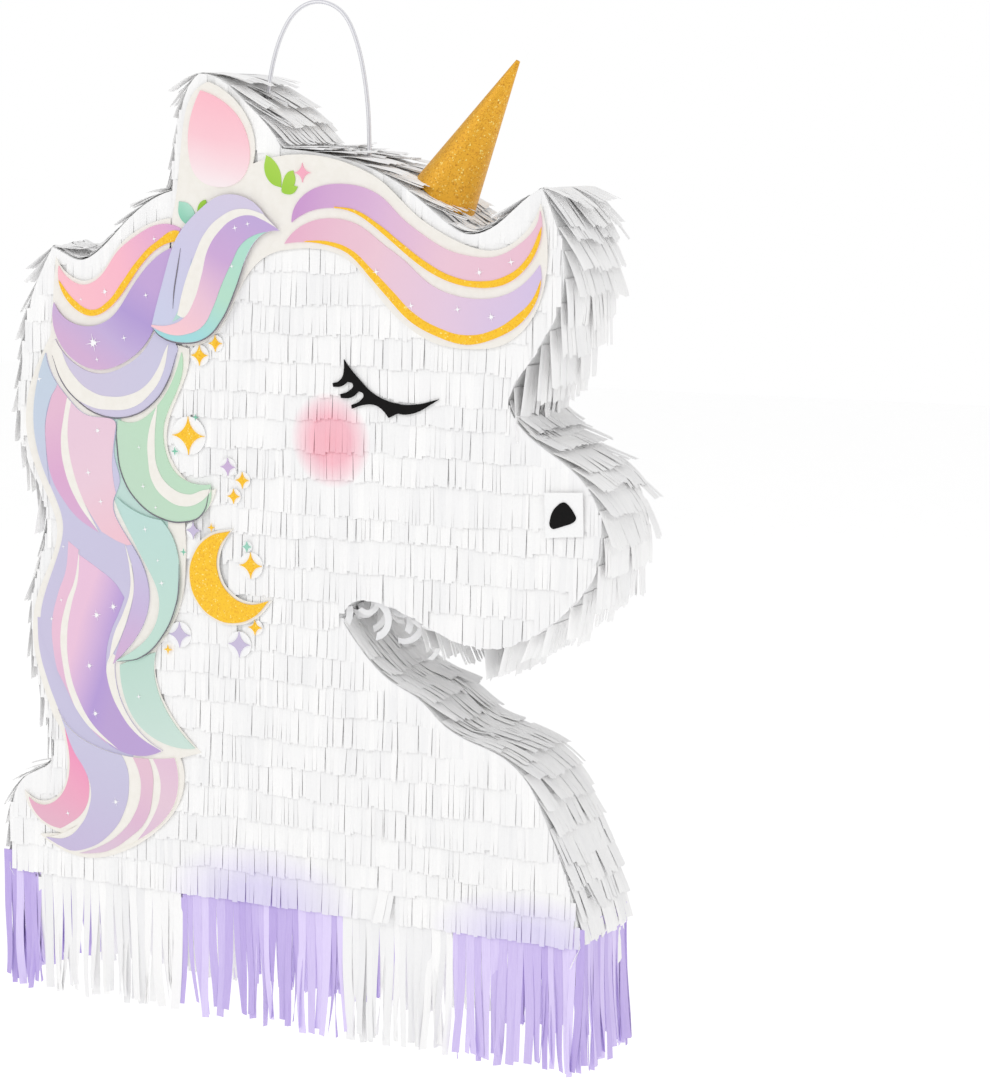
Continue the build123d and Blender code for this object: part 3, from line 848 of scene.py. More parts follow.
def skirt_ribbon(strips, foot, along, out, width, loose):
    """One hanging ribbon. foot is its place at base height, along runs beside the panel."""
    length = SKIRT_LENGTH * random.uniform(0.93, 1.02)
    swing = random.gauss(0, 1.8) * MM
    wave = random.uniform(0.2, 1.2) * MM
    phase = random.uniform(0, 6.3)
    twist = random.gauss(0, 0.55) * loose
    flare = random.uniform(-0.8, 2.6) * MM
    line, across, bow, widths = [], [], [], []
    for i in range(RIBBON_SPANS + 1):
        share = i / RIBBON_SPANS
        free = max(0.0, (share - 0.2) / 0.8)
        point = foot + Vector((0, 0, SKIRT_TOP - length * share))
        point = point + along * (swing * free**1.5 + wave * free * math.sin(phase + 5 * share))
        point = point + out * (0.15 * MM + flare * free**1.3 + wave * 0.8 * free * math.cos(phase + 6 * share))
        angle = twist * free**1.4
        across.append((along * math.cos(angle) + out * math.sin(angle)).normalized())
        bow.append(out * (0.35 * MM * math.sin(phase + 4 * share) * free))
        widths.append(width * (0.985 - 0.10 * free))
        line.append(point)
    strips.add(line, across, widths, random.uniform(0.22, 0.85), bow)


def skirt_side(strips, start, end, out):
    """Ribbons side by side between two points at base height."""
    along = (end - start).normalized()
    reach = (end - start).length
    place = 0.0
    while place < reach:
        width = random.uniform(2.9, 5.4) * MM
        foot = start + along * min(reach, place + width / 2)
        skirt_ribbon(strips, foot, along, out, width, 1.0)
        if random.random() < 0.35:
            skirt_ribbon(strips, foot - out * 0.4 * MM + along * random.uniform(-1, 1) * MM, along, out,
                width * 0.8, 1.6)
        place += width


def skirt_face(colour, y, out_sign, seed):
    """The bands of one colour along the front or the back of the base."""
    random.seed(seed)
    strips = StripMesh()
    for band_colour, left, right in BANDS:
        if band_colour == colour:
            skirt_side(strips, at(left, 0, y), at(right, 0, y), Vector((0, out_sign, 0)))
    return strips


SKIRT_MATERIAL = {"violet": violet_tissue, "white": white_tissue}
for side, y, out_sign in (("front", panel_front, -1), ("back", panel_back, 1)):
    for colour in ("violet", "white"):
        strips = skirt_face(colour, y, out_sign, 31 + len(side) + len(colour))
        strips.build(
            f"{side}_skirt_{colour}", SKIRT_MATERIAL[colour], "shell", f"{colour}_tissue",
            [f"skirt_{side}_{colour}"],
        )

random.seed(41)
for side, corner, inset in (("chest", 1, -1.0), ("neck", 0, 1.0)):
    strips = StripMesh()
    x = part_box(f"skirt_{side}_side")[corner].x + inset * MM
    front, back = (Vector((x, y, base_corner.z)) for y in (panel_front, panel_back))
    skirt_side(strips, front, back, Vector((-inset, 0, 0)))
    strips.build(f"{side}_skirt", violet_tissue, "shell", "violet_tissue", [f"skirt_{side}_side"])

# %% [markdown]
# ## Printed shapes
# The mane is a sheet of cream card with the locks printed on it and a few raised locks glued on
# top. The cards themselves are exact solids already. What is printed on them is drawn as flat
# outlines: smooth curves that meet in corners. A filled 2D Bezier curve gives exactly that, with
# automatic handles along a curve and straight ones at a corner. It is then turned upright, given
# the thickness of a layer of ink and, where it must end at a card's edge, cut by that card.

# %% A helper for printed shapes
INK = 0.10 * MM


def filled_outline(name, edges):
    """A flat filled curve, drawn in card millimetres on the XY plane."""
    curve = bpy.data.curves.new(name, "CURVE")
    curve.dimensions = "2D"
    curve.fill_mode = "BOTH"
    curve.resolution_u = 8
    corners = {edge[0] for edge in edges} | {edge[-1] for edge in edges}
    points = []
    for edge in edges:
        points += edge[:-1] if edge[-1] == edges[(edges.index(edge) + 1) % len(edges)][0] else edge
    spline = curve.splines.new("BEZIER")
    spline.bezier_points.add(len(points) - 1)
    spline.use_cyclic_u = True
    for bezier, point in zip(spline.bezier_points, points):
        flat = at(*point)
        bezier.co = (flat.x, flat.z, 0.0)
        kind = "VECTOR" if point in corners and len(edges) > 1 else "AUTO"
        bezier.handle_left_type = bezier.handle_right_type = kind
    return curve


def to_upright_mesh(curve, name, depth, thickness):
    """The curve as a mesh that stands on the front, its back at that depth."""
    curve.extrude = thickness / 2
    drawn = new_object(name, curve)
    select_only(drawn)
    bpy.ops.object.convert(target="MESH")
    piece = bpy.context.object
    piece.name = name
    turn = Matrix.Rotation(math.radians(90), 4, "X")
    piece.data.transform(Matrix.Translation((0, depth - thickness / 2, 0)) @ turn)
    bpy.ops.object.mode_set(mode="EDIT")
    bpy.ops.mesh.select_all(action="SELECT")
    bpy.ops.mesh.remove_doubles(threshold=1e-7)
    bpy.ops.mesh.normals_make_consistent(inside=False)
    bpy.ops.object.mode_set(mode="OBJECT")
    return piece


def cut_by_card(piece, name):
    """Keeps only what lies over the card: a deep copy of the card is the cutter."""
    cutter_mesh = nodes[name].data.copy()
    cutter = new_object(f"{name}_cutter", cutter_mesh)
    select_only(cutter)
    bpy.ops.object.mode_set(mode="EDIT")
    bpy.ops.mesh.select_all(action="SELECT")
    bpy.ops.mesh.remove_doubles(threshold=1e-6)
    bpy.ops.object.mode_set(mode="OBJECT")
    middle = sum((v.co.y for v in cutter_mesh.vertices)) / len(cutter_mesh.vertices)
    for vertex in cutter_mesh.vertices:
        vertex.co.y = middle + (vertex.co.y - middle) * 12
    cut = piece.modifiers.new("cut", "BOOLEAN")
    cut.operation = "INTERSECT"
    cut.solver = "EXACT"
    cut.object = cutter
    bpy.context.view_layer.objects.active = piece
    bpy.ops.object.modifier_apply(modifier=cut.name)
    bpy.data.objects.remove(cutter)


def print_shape(name, edges, material, layer, card=None, lifted=0, thickness=INK):
    """A printed shape on the card layer. lifted counts inks that lie under this one."""
    depth = card_face(layer) - lifted * 0.05 * MM + 0.02 * MM
    piece = to_upright_mesh(filled_outline(name, edges), name, depth, thickness)
    if card:
        cut_by_card(piece, card)
    piece.data.materials.clear()
    piece.data.materials.append(material)
    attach(piece, "shell")
    return piece


def finish_card(name, material):
    """Gives a card solid its printed paper."""
    slots = nodes[name].material_slots
    for slot in slots:
        slot.material = material


for name in ("crown_card", "mane_card", "curl_locks"):
    finish_card(name, cream_print)
finish_card("star_backings", patch_white)
finish_card("gold_stars", gold_glitter)
finish_card("horn", gold_foil)
finish_card("loop_knots", cord_white)
for name in ("front_panel", "back_panel"):
    finish_card(name, white_card)
for name in ("loop_plates", "fill_flap"):
    finish_card(name, grey_card)
for name in nodes:
    if name.endswith("_wall"):
        finish_card(name, white_card)
print("card solids finished")

# %% [markdown]
# ## The locks of the mane
# The raised locks get their gradients straight on the solids. The stripes on them are printed
# shapes: gold edges, cream gaps and the second colours. Each entry says its outline, its colours
# and the card that cuts it.

# %% Locks: colours of the cards
LOCKS = {
    "pink_lock": ((40, 300), (115, 322), [(0.995, 0.760, 0.800), (0.985, 0.730, 0.800),
        (0.865, 0.655, 0.835)]),
    "violet_lock": ((66, 259), (92, 300), [(0.835, 0.690, 0.835), (0.775, 0.690, 0.860),
        (0.700, 0.605, 0.840), (0.770, 0.650, 0.850)]),
    "crescent_lock": ((40, 250), (110, 262), [(0.825, 0.790, 0.880), (0.800, 0.790, 0.890)]),
    "side_lock": ((110, 276), (146, 343), [(0.800, 0.815, 0.915), (0.815, 0.800, 0.905),
        (0.835, 0.800, 0.895)]),
    "green_lock": ((76, 215), (122, 255), [(0.755, 0.868, 0.775), (0.745, 0.890, 0.765)]),
    "mint_lock": ((85, 190), (100, 120), [(0.745, 0.870, 0.845), (0.765, 0.880, 0.830)]),
    "mint_tail": ((85, 118), (105, 76), [(0.745, 0.862, 0.812), (0.800, 0.888, 0.850)]),
    "long_lock": ((30, 250), (45, 80), [(0.795, 0.800, 0.900), (0.795, 0.775, 0.882), (0.800, 0.770, 0.880)]),
    "forelock_upper": ((176, 334), (300, 318), [(0.800, 0.600, 0.815), (0.870, 0.715, 0.850),
        (0.930, 0.780, 0.845), (0.930, 0.760, 0.830)]),
    "forelock_lower": ((172, 322), (300, 290), [(0.915, 0.700, 0.800), (0.935, 0.785, 0.840),
        (0.900, 0.790, 0.880), (0.840, 0.770, 0.905)]),
    "ear_card": ((140, 392), (132, 348), [(0.995, 0.735, 0.790), (0.992, 0.795, 0.835),
        (0.985, 0.930, 0.940)]),
}
for name, (start, end, colours) in LOCKS.items():
    finish_card(name, graded(f"{name}_print", start, end, colours))
print("locks coloured", len(LOCKS))

# %% Stripes on the locks
# name, card that it is printed on, layer, (start, end, colours) or a material, outline edges
STRIPES = [
    ("lavender_turn", None, 0, ((30, 125), (60, 68), [(0.800, 0.775, 0.882), (0.785, 0.770, 0.880)]), [
        [(23.8, 132), (24.5, 116), (29.5, 99), (35.5, 85), (41.5, 70)],
        [(41.5, 70), (78, 62)],
        [(78, 62), (80, 72), (58, 95), (40, 132)],
        [(40, 132), (23.8, 132)]]),
    ("teal_behind", None, 0, ((74, 236), (90, 180), [(0.765, 0.868, 0.840), (0.758, 0.872, 0.842)]), [
        [(68, 240), (69, 222), (69, 205), (72, 193), (80, 178)],
        [(80, 178), (92, 174), (102, 182), (101, 190)],
        [(101, 190), (86, 197), (78, 207), (75, 222), (78, 242)],
        [(78, 242), (68, 240)]]),
    ("pink_gold", "pink_lock", 1, gold_glitter, [
        [(41, 297), (49, 288), (61, 283), (71, 287), (81, 297), (89, 307), (99, 316), (114, 322)],
        [(114, 322), (113, 325.5), (98, 320), (87.5, 311), (79, 301), (70, 291), (61, 287), (51, 291.5),
            (42, 301)],
        [(42, 301), (41, 297)]]),
    ("upper_gold", "forelock_upper", 1, gold_glitter, [
        [(197, 337.6), (207, 335), (219, 328), (231, 319), (244, 310), (258, 304), (272, 302), (285, 304),
            (295, 311), (303, 324)],
        [(303, 324), (303, 331)],
        [(303, 331), (295, 316), (285, 308.6), (272, 306), (258, 308), (245, 314), (232, 322.6), (220, 331),
            (208, 337.2), (197, 338.6)],
        [(197, 338.6), (197, 337.6)]]),
    ("lower_gold", "forelock_lower", 1, gold_glitter, [
        [(176, 320.5), (180, 321), (192, 320), (204, 316), (214, 307), (225, 296), (236, 286), (251, 279),
            (265, 276), (279, 279), (292, 286), (302, 299)],
        [(302, 299), (303, 308)],
        [(303, 308), (298, 298), (291, 291.5), (279, 284.2), (265, 281.4), (252, 284), (238, 290.8),
            (227.5, 300.2), (216, 310.6), (205.5, 319), (193, 322.6), (182, 322.6)],
        [(182, 322.6), (176, 320.5)]]),
    ("crescent_cream", "crescent_lock", 1, cream_print, [
        [(36, 271), (39, 256), (47, 246), (58, 240), (70, 238.5), (84, 240.5), (94, 247.5), (101, 257),
            (105, 272)],
        [(105, 272), (103.6, 270), (98, 259), (91, 251), (82, 246.5), (71, 245), (60, 247), (50, 254),
            (44, 263), (42, 272)],
        [(42, 272), (36, 271)]]),
    ("side_cream", "side_lock", 3, cream_print, [
        [(162, 334), (147, 337), (136, 333), (127, 325), (121, 314), (115, 300), (111, 286)],
        [(111, 286), (115, 285), (121, 294), (125.5, 305), (129.5, 318), (136.5, 326.6), (143, 331.6),
            (152, 333), (159, 331.6), (168, 327)],
        [(168, 327), (162, 334)]]),
    ("side_purple", "side_lock", 3, ((108, 278), (150, 334),
        [(0.985, 0.800, 0.825), (0.925, 0.770, 0.845), (0.805, 0.660, 0.845), (0.760, 0.660, 0.855)]), [
        [(94, 281), (106, 281), (115, 285), (120.5, 293), (125, 305), (129, 318), (136, 327), (143, 332),
            (152, 334), (159, 332), (169, 327)],
        [(169, 327), (155, 325), (147, 320), (142, 312), (136, 301), (131, 290), (125, 281), (116, 277),
            (107, 276.5), (94, 281)]]),
    ("side_mint", "side_lock", 3, ((120, 276), (150, 318),
        [(0.635, 0.860, 0.872), (0.715, 0.880, 0.795), (0.690, 0.880, 0.810)]), [
        [(93, 280), (107, 276.8), (116, 277), (125, 281), (131, 290), (136, 301), (142, 312), (147, 320),
            (155, 325), (169, 327.5)],
        [(169, 327.5), (157, 321), (149, 311), (144, 298), (139, 285), (130, 272), (113, 270), (101, 273),
            (93, 280)]]),
    ("side_mint_sliver", "side_lock", 3, ((112, 284), (118, 312), [(0.72, 0.86, 0.83), (0.70, 0.80, 0.86)]), [
        [(119.5, 313), (117, 302), (113, 291), (108, 282.5)],
        [(108, 282.5), (113, 285.5), (116.3, 293), (118.6, 303), (119.5, 313)]]),
    ("green_cream", "green_lock", 1, cream_print, [
        [(98, 243), (92.5, 228), (92, 215), (94.5, 204), (102, 196.5), (112, 193.5), (121, 196), (129, 203)],
        [(129, 203), (123, 202), (115, 199.5), (104, 203), (97.5, 211), (96, 222), (98, 243)]]),
    ("blue_strip", "long_lock", 1, ((25, 260), (33, 195), [BLUE_GREY, (0.780, 0.825, 0.895), LAVENDER]), [
        [(33, 270), (24, 258), (20, 244), (21, 226), (25, 212), (35, 191)],
        [(35, 191), (33, 205), (32, 218), (32, 231), (35, 242), (40, 252), (33, 270)]]),
    ("orchid_strip", "long_lock", 1, ((34, 235), (56, 180),
        [(0.905, 0.735, 0.830), ORCHID, (0.860, 0.690, 0.830)]), [
        [(40, 254), (35, 241), (32, 230), (32, 218), (35, 203), (42, 192), (50, 184), (62, 177.5)],
        [(62, 177.5), (50, 192), (43, 207), (41, 221), (43, 234), (47, 246)],
        [(47, 246), (40, 254)]]),
    ("pink_wide", "long_lock", 1, ((50, 230), (76, 178),
        [(0.922, 0.798, 0.865), (0.930, 0.805, 0.862), (0.945, 0.775, 0.825)]), [
        [(47, 246), (44, 230), (44, 220), (48, 206), (54, 192), (64, 178)],
        [(64, 178), (73, 174), (84, 171)],
        [(84, 171), (78, 181), (74, 193), (71, 209), (72, 222), (75, 237)],
        [(75, 237), (58, 241), (47, 246)]]),
    ("long_cream", "long_lock", 1, cream_print, [
        [(46.5, 248), (43, 234), (41, 221), (43, 207), (50, 192), (62.5, 177.5)],
        [(62.5, 177.5), (53.5, 193), (48, 207), (45.3, 221), (45.5, 231), (48.5, 245)],
        [(48.5, 245), (46.5, 248)]]),
    ("right_violet", "long_lock", 1, ((84, 168), (74, 118),
        [(0.800, 0.780, 0.890), (0.795, 0.725, 0.870), (0.830, 0.690, 0.840)]), [
        [(83, 173), (89, 162), (92, 150), (89, 137), (82, 125), (69, 112)],
        [(69, 112), (74, 125), (79.5, 138), (82.2, 150), (81.5, 161), (78, 172)],
        [(78, 172), (83, 173)]]),
    ("left_pink", "long_lock", 1, ((44, 168), (52, 76),
        [(0.925, 0.760, 0.850), (0.925, 0.755, 0.845), (0.870, 0.700, 0.840)]), [
        [(44, 172), (42, 157), (37, 145), (33, 130), (33.5, 116), (37, 101), (43, 87), (53, 76), (69, 67)],
        [(69, 67), (60, 75.5), (50, 83), (43, 94), (39, 109), (38, 125), (42, 141), (47, 152), (50, 168)],
        [(50, 168), (44, 172)]]),
    ("purple_lock", "long_lock", 1, ((46, 118), (74, 108),
        [(0.925, 0.765, 0.865), (0.830, 0.700, 0.865), (0.715, 0.610, 0.845), (0.735, 0.630, 0.835)]), [
        [(49.5, 166), (62, 159), (71, 153), (76.5, 146)],
        [(76.5, 146), (73, 138), (68, 128), (65, 116), (66, 102), (72, 89), (82, 78), (98, 70)],
        [(98, 70), (86, 65), (77, 65), (68, 69)],
        [(68, 69), (56, 80), (48, 92), (43, 106), (42, 124), (45, 141), (49.5, 166)]]),
    ("sliver_left", "long_lock", 1, cream_print, [
        [(50.5, 168), (47, 152), (42, 141), (38, 125), (39, 109), (43, 94), (50, 82.5), (60, 74.8), (71, 69)],
        [(71, 69), (56, 80.5), (48, 92.5), (43.2, 106), (42, 124), (45.3, 141), (49, 152), (50.5, 168)]]),
    ("sliver_right", "long_lock", 1, cream_print, [
        [(77.5, 173), (80, 161), (80, 150), (76, 139), (70, 127), (66.5, 113)],
        [(66.5, 113), (73.5, 125), (79, 138), (82.2, 150), (81.7, 161), (77.5, 173)]]),
    ("tail_cream", "long_lock", 1, cream_print, [
        [(68, 118), (65, 110), (66, 102), (72, 89), (82, 78), (98, 70)],
        [(98, 70), (90, 82), (80, 97), (76, 113)],
        [(76, 113), (68, 118)]]),
    ("hot_pink_curl", "curl_locks", 1, ((44, 72), (24, 28),
        [(0.965, 0.570, 0.745), (0.945, 0.655, 0.765), (0.905, 0.705, 0.785)]), [
        [(39, 78), (46, 64), (52, 54), (53, 45), (50, 36), (41, 28), (31, 24), (22, 28), (15, 39)],
        [(15, 39), (24, 37), (33, 40), (39, 50), (41, 62), (39, 78)]]),
    ("lavender_curl", "curl_locks", 1, ((50, 80), (40, 15),
        [LAVENDER, (0.790, 0.765, 0.875), (0.785, 0.735, 0.865)]), [
        [(33, 92), (44, 82), (58, 73), (70, 70)],
        [(70, 70), (75.5, 62), (77, 52), (74, 38), (65, 25), (51, 16), (38, 14), (26, 19)],
        [(26, 19), (38, 20), (47, 27), (53, 38), (54, 48), (51, 56), (44, 66), (38, 80), (33, 92)]]),
    ("pink_curl_inner", "curl_locks", 1, ((82, 62), (60, 14),
        [(0.905, 0.760, 0.830), (0.880, 0.730, 0.830), (0.870, 0.775, 0.850)]), [
        [(77, 70), (83, 59), (84, 49), (80, 37), (71, 26), (57, 17), (43, 12)],
        [(43, 12), (63, 16), (76, 24), (87, 35), (91, 50), (91, 60), (87, 70)],
        [(87, 70), (77, 70)]]),
    ("pink_curl_outer", "curl_locks", 1, ((100, 66), (86, 26),
        [(0.900, 0.765, 0.850), (0.905, 0.790, 0.850), (0.880, 0.760, 0.850)]), [
        [(89, 70), (94.5, 60), (95.5, 50), (91, 37), (80, 22)],
        [(80, 22), (95, 32), (104, 42), (107, 56), (105, 70)],
        [(105, 70), (89, 70)]]),
]
for index, (name, card, layer, paper, edges) in enumerate(STRIPES):
    if isinstance(paper, tuple):
        paper = graded(f"{name}_print", *paper)
    slot = "pastel_print"
    if paper == gold_glitter:
        slot = "gold_glitter"
    elif paper == cream_print:
        slot = "cream_print"
    print_shape(name, edges, paper, layer, card, lifted=index % 4)
print("stripes", len(STRIPES))

# %% [markdown]
# ## Little stars, the eye and the leaves
# The small stars share one solid, so the material picks lavender, pink or mint by where the star
# is. The closed eye and the leaves are drawn shapes, cut from thin card.

# %% Small stars
small_star_paper, tree, shader, place = new_material("small_star_print", 0.5, 1200.0, 0.00002, 0.15)
split = tree.nodes.new("ShaderNodeSeparateXYZ")
tree.links.new(place.outputs["Object"], split.inputs["Vector"])


def step_mix(socket, limit, below, above):
    """Picks one of two colour sockets or values by a threshold."""
    test = tree.nodes.new("ShaderNodeMath")
    test.operation = "GREATER_THAN"
    test.inputs[1].default_value = limit
    tree.links.new(socket, test.inputs[0])
    mix = tree.nodes.new("ShaderNodeMix")
    mix.data_type = "RGBA"
    tree.links.new(test.outputs["Value"], mix.inputs[0])
    for slot, value in ((mix.inputs[6], below), (mix.inputs[7], above)):
        if isinstance(value, tuple):
            slot.default_value = (*srgb(*value), 1.0)
        else:
            tree.links.new(value, slot)
    return mix.outputs[2]


mint_or_lavender = step_mix(split.outputs["X"], at(143.5, 0).x, (0.790, 0.745, 0.860), (0.60, 0.83, 0.75))
lavender_below = step_mix(split.outputs["Z"], at(0, 150).z, (0.790, 0.745, 0.860), mint_or_lavender)
low_or_high = step_mix(split.outputs["Z"], at(0, 200).z, lavender_below, (0.800, 0.700, 0.850))
star_colour = step_mix(split.outputs["Z"], at(0, 300).z, low_or_high, (0.975, 0.680, 0.765))
tree.links.new(star_colour, shader.inputs["Base Color"])
finish_card("small_stars", small_star_paper)
print("small stars finished")

# %% Closed eye
STOCK = 0.5 * MM  # thickness of a shape cut from its own card
THIN_STOCK = 0.3 * MM
SUNK = 0.45 * MM  # how far such a shape is pressed back into the tissue


def card_shape(name, edges, material, layer):
    """A shape cut from its own card and pressed into the tissue."""
    piece = print_shape(name, edges, material, layer, thickness=STOCK)
    piece.data.transform(Matrix.Translation((0, SUNK, 0)))
    return piece


# the lid's curve, then back along its lower side round three lashes
EYE = [
    [(201, 268), (204.5, 263.5), (209, 259), (216, 253), (226, 249), (237, 248.3), (251, 251.5)],
    [(251, 251.5), (246, 248.5), (240, 245.2), (234, 243.6), (229, 243.8)],
    [(229, 243.8), (224.5, 241.6)],
    [(224.5, 241.6), (221.5, 245), (217.5, 247.2), (211, 247), (205, 245)],
    [(205, 245), (204.8, 246.8)],
    [(204.8, 246.8), (209.5, 249), (211.3, 252), (209, 253.4)],
    [(209, 253.4), (204.5, 250.2), (199.2, 249.8)],
    [(199.2, 249.8), (199, 251.6)],
    [(199, 251.6), (203.5, 253.3), (205.8, 256.3), (203, 257.6)],
    [(203, 257.6), (199.5, 255.3), (195.2, 254.9)],
    [(195.2, 254.9), (194.8, 256.6)],
    [(194.8, 256.6), (198, 257.6), (200.2, 260), (201, 264), (201, 268)],
]
closed_eye = card_shape("closed_eye", EYE, black_print, 0)
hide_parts("eye_card")
print("eye faces", len(closed_eye.data.polygons))

# %% Crescent moon
MOON = [
    [(137.8, 183), (126, 179.5), (117, 170), (114.7, 158.5), (119, 147), (128.5, 139.8), (139.5, 138.3),
     (150.5, 142.2), (158.8, 150.5)],
    [(158.8, 150.5), (147.5, 148), (136.5, 152.5), (130.5, 162), (131.1, 173.5), (137.8, 183)],
]
MOON_RIM = [
    [(139.4, 184.4), (125.5, 180.7), (115.9, 170.6), (113.5, 158.5), (118, 146.3), (128.1, 138.6),
     (139.6, 137.1), (151.3, 141.1), (160.8, 150.8)],
    [(160.8, 150.8), (147.6, 149.3), (137.5, 153.4), (131.7, 162.2), (132.3, 173), (139.4, 184.4)],
]
moon_rim = card_shape("moon_rim", MOON_RIM, cream_print, 0)
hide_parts("moon_backing")
moon = card_shape("crescent_moon", MOON, gold_glitter, 1)
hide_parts("moon_card")
print("moon faces", len(moon.data.polygons))

# %% Nostril
NOSTRIL = [
    [(312.2, 207.0), (314.5, 207.6), (317.6, 205.3), (319.6, 202.6)],
    [(319.6, 202.6), (320.3, 200.6), (319.0, 198.8), (314.6, 196.9), (311.0, 195.6)],
    [(311.0, 195.6), (308.6, 195.3), (307.3, 196.8), (307.5, 199.6), (309.0, 203.6), (312.2, 207.0)],
]
PATCH = [
    [(304.5, 211.5), (323.5, 212.5)], [(323.5, 212.5), (324.0, 192.5)],
    [(324.0, 192.5), (305.0, 190.8)], [(305.0, 190.8), (304.5, 211.5)],
]
patch = print_shape("nostril_patch", PATCH, patch_white, 0, thickness=THIN_STOCK)
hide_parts("nostril_backing")
nostril = card_shape("nostril", NOSTRIL, black_print, 1)
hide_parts("nostril_card")
print("nostril faces", len(nostril.data.polygons))

# %% Leaf prints
LEAVES = [
    ("leaf_tall", lime_print, [[(160.5, 362), (164, 360), (168, 354), (168.5, 347)],
        [(168.5, 347), (163, 349), (159.5, 355), (160.5, 362)]]),
    ("leaf_mid", lime_print, [[(175, 355), (176, 350), (173, 346), (168.5, 345.5)],
        [(168.5, 345.5), (169.5, 350), (172, 354), (175, 355)]]),
    ("leaf_low", lime_print, [[(177.5, 347.5), (175, 344.5), (171, 344), (168.5, 345)],
        [(168.5, 345), (171.5, 347), (174.5, 348), (177.5, 347.5)]]),
    ("leaf_mint_shape", leaf_mint, [[(112, 340), (117, 339), (120.5, 335), (121, 328)],
        [(121, 328), (115.5, 329.5), (112, 333.5), (112, 340)]]),
    ("leaf_bud", lime_print, [[(127, 341), (127.5, 338), (125.5, 335), (122.5, 333.5)],
        [(122.5, 333.5), (122.5, 337), (124.5, 340), (127, 341)]]),
]
for index, (name, paper, edges) in enumerate(LEAVES):
    leaf = print_shape(name, edges, paper, 0, lifted=index, thickness=THIN_STOCK)
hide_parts("leaf_cards")
print("leaves", len(LEAVES))

# %% [markdown]
# ## Ink lines and sparkles
# A fine grey line under each raised lock looks like its shadow. It is a curve with a small round
# section, flattened onto the card. The sparkles are tiny white stars, each with a small white dot at its
# middle.

# %% Ink lines
LINES = [
    ("crescent_line", 1, [(37, 264), (42, 252), (51, 242.6), (65, 235.6), (81, 235.6), (95, 242.6),
        (104, 253.6), (109.6, 268)]),
    ("side_line", 3, [(96.5, 279.6), (101, 275.6), (113, 272.6), (127, 275.6), (136, 284.6), (143, 297.6),
        (149, 312.6)]),
    ("green_line", 1, [(74, 233), (74, 222), (77, 206), (86, 193.8), (99, 186.8), (112, 185.8), (122, 189.8),
        (127, 203)]),
    ("mint_line", 2, [(109, 165), (108.8, 155), (107, 145), (99, 129), (86, 117), (72, 113.6)]),
    ("violet_line", 3, [(113.5, 318), (111.5, 308), (109.5, 298), (108.5, 289)]),
]
for name, layer, points in LINES:
    curve = bpy.data.curves.new(name, "CURVE")
    curve.dimensions = "3D"
    curve.bevel_depth = 0.34 * MM
    curve.bevel_resolution = 1
    curve.resolution_u = 6
    curve.use_fill_caps = True
    spline = curve.splines.new("BEZIER")
    spline.bezier_points.add(len(points) - 1)
    for i, (bezier, point) in enumerate(zip(spline.bezier_points, points)):
        bezier.co = at(*point)
        bezier.handle_left_type = bezier.handle_right_type = "AUTO"
        bezier.radius = 0.25 if i in (0, len(points) - 1) else 1.0
    line = new_object(name, curve)
    select_only(line)
    bpy.ops.object.convert(target="MESH")
    line = bpy.context.object
    for vertex in line.data.vertices:
        vertex.co.y = card_face(layer) - 0.16 * MM + vertex.co.y * 0.3
    line.data.materials.clear()
    line.data.materials.append(line_ink)
    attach(line, "shell")
print("ink lines", len(LINES))

# %% Sparkles
SPARKLES = {
    "pink_lock": [(98, 322, 1.6), (69, 296, 2.6), (55, 292, 1.2)],
    "violet_lock": [(62, 271, 5.0), (80, 274, 1.8), (93, 295, 1.8), (64, 263, 1.5)],
    "side_lock": [(144, 328, 1.8), (151, 330, 1.6), (142, 310, 1.6)],
    "long_lock": [(29, 252, 2.0), (63, 228, 2.6), (57, 207, 2.2), (64, 193, 2.0), (70, 141, 3.2),
        (60, 136, 3.4),
                  (55, 110, 2.8), (58, 86, 2.8), (33, 132, 1.5), (39, 142, 1.3), (41, 169, 1.2)],
    "green_lock": [(87, 221, 1.3), (89, 202, 1.7), (96, 192, 1.4)],
    "mint_lock": [(99, 155, 2.0), (97, 166, 1.2), (90, 181, 1.8)],
    "mint_tail": [(84, 97, 1.8)],
    "curl_locks": [(69, 42, 2.6), (40, 33, 1.8)],
    "forelock_upper": [(272, 310, 2.6), (288, 315, 2.2)],
    "forelock_lower": [(278, 290, 2.8), (261, 293, 2.2), (237, 294, 2.2), (219, 309, 2.2)],
}
LOCK_LAYER = {
    "pink_lock": 1, "violet_lock": 2, "side_lock": 3, "long_lock": 1, "green_lock": 1, "mint_lock": 2,
    "mint_tail": 1, "curl_locks": 1, "forelock_upper": 1, "forelock_lower": 1,
}


def star_outline(mesh, x, z, reach, depth, spikes, waist, turn):
    """A thin many-pointed star as a closed prism."""
    rings = []
    for y in (depth, depth - 0.05 * MM):
        ring = []
        for i in range(2 * spikes):
            angle = turn + math.pi * i / spikes
            radius = reach * (1.0 if i % 2 == 0 else waist)
            if i % 4 == 2 and spikes > 4:
                radius *= 0.62
            centre = at(x, z, y)
            ring.append(mesh.verts.new(centre + Vector((math.cos(angle), 0, math.sin(angle))) * radius * MM))
        rings.append(ring)
    mesh.faces.new(rings[1])
    mesh.faces.new(rings[0][::-1])
    for i in range(2 * spikes):
        j = (i + 1) % (2 * spikes)
        mesh.faces.new((rings[0][i], rings[0][j], rings[1][j], rings[1][i]))


def stars_piece(name, stars, material):
    """All the stars of one piece in one mesh. stars: the arguments of each outline."""
    mesh = bmesh.new()
    for star in stars:
        star_outline(mesh, *star)
    bmesh.ops.recalc_face_normals(mesh, faces=mesh.faces)
    data = bpy.data.meshes.new(name)
    mesh.to_mesh(data)
    mesh.free()
    piece = new_object(name, data)
    data.materials.append(material)
    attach(piece, "shell")


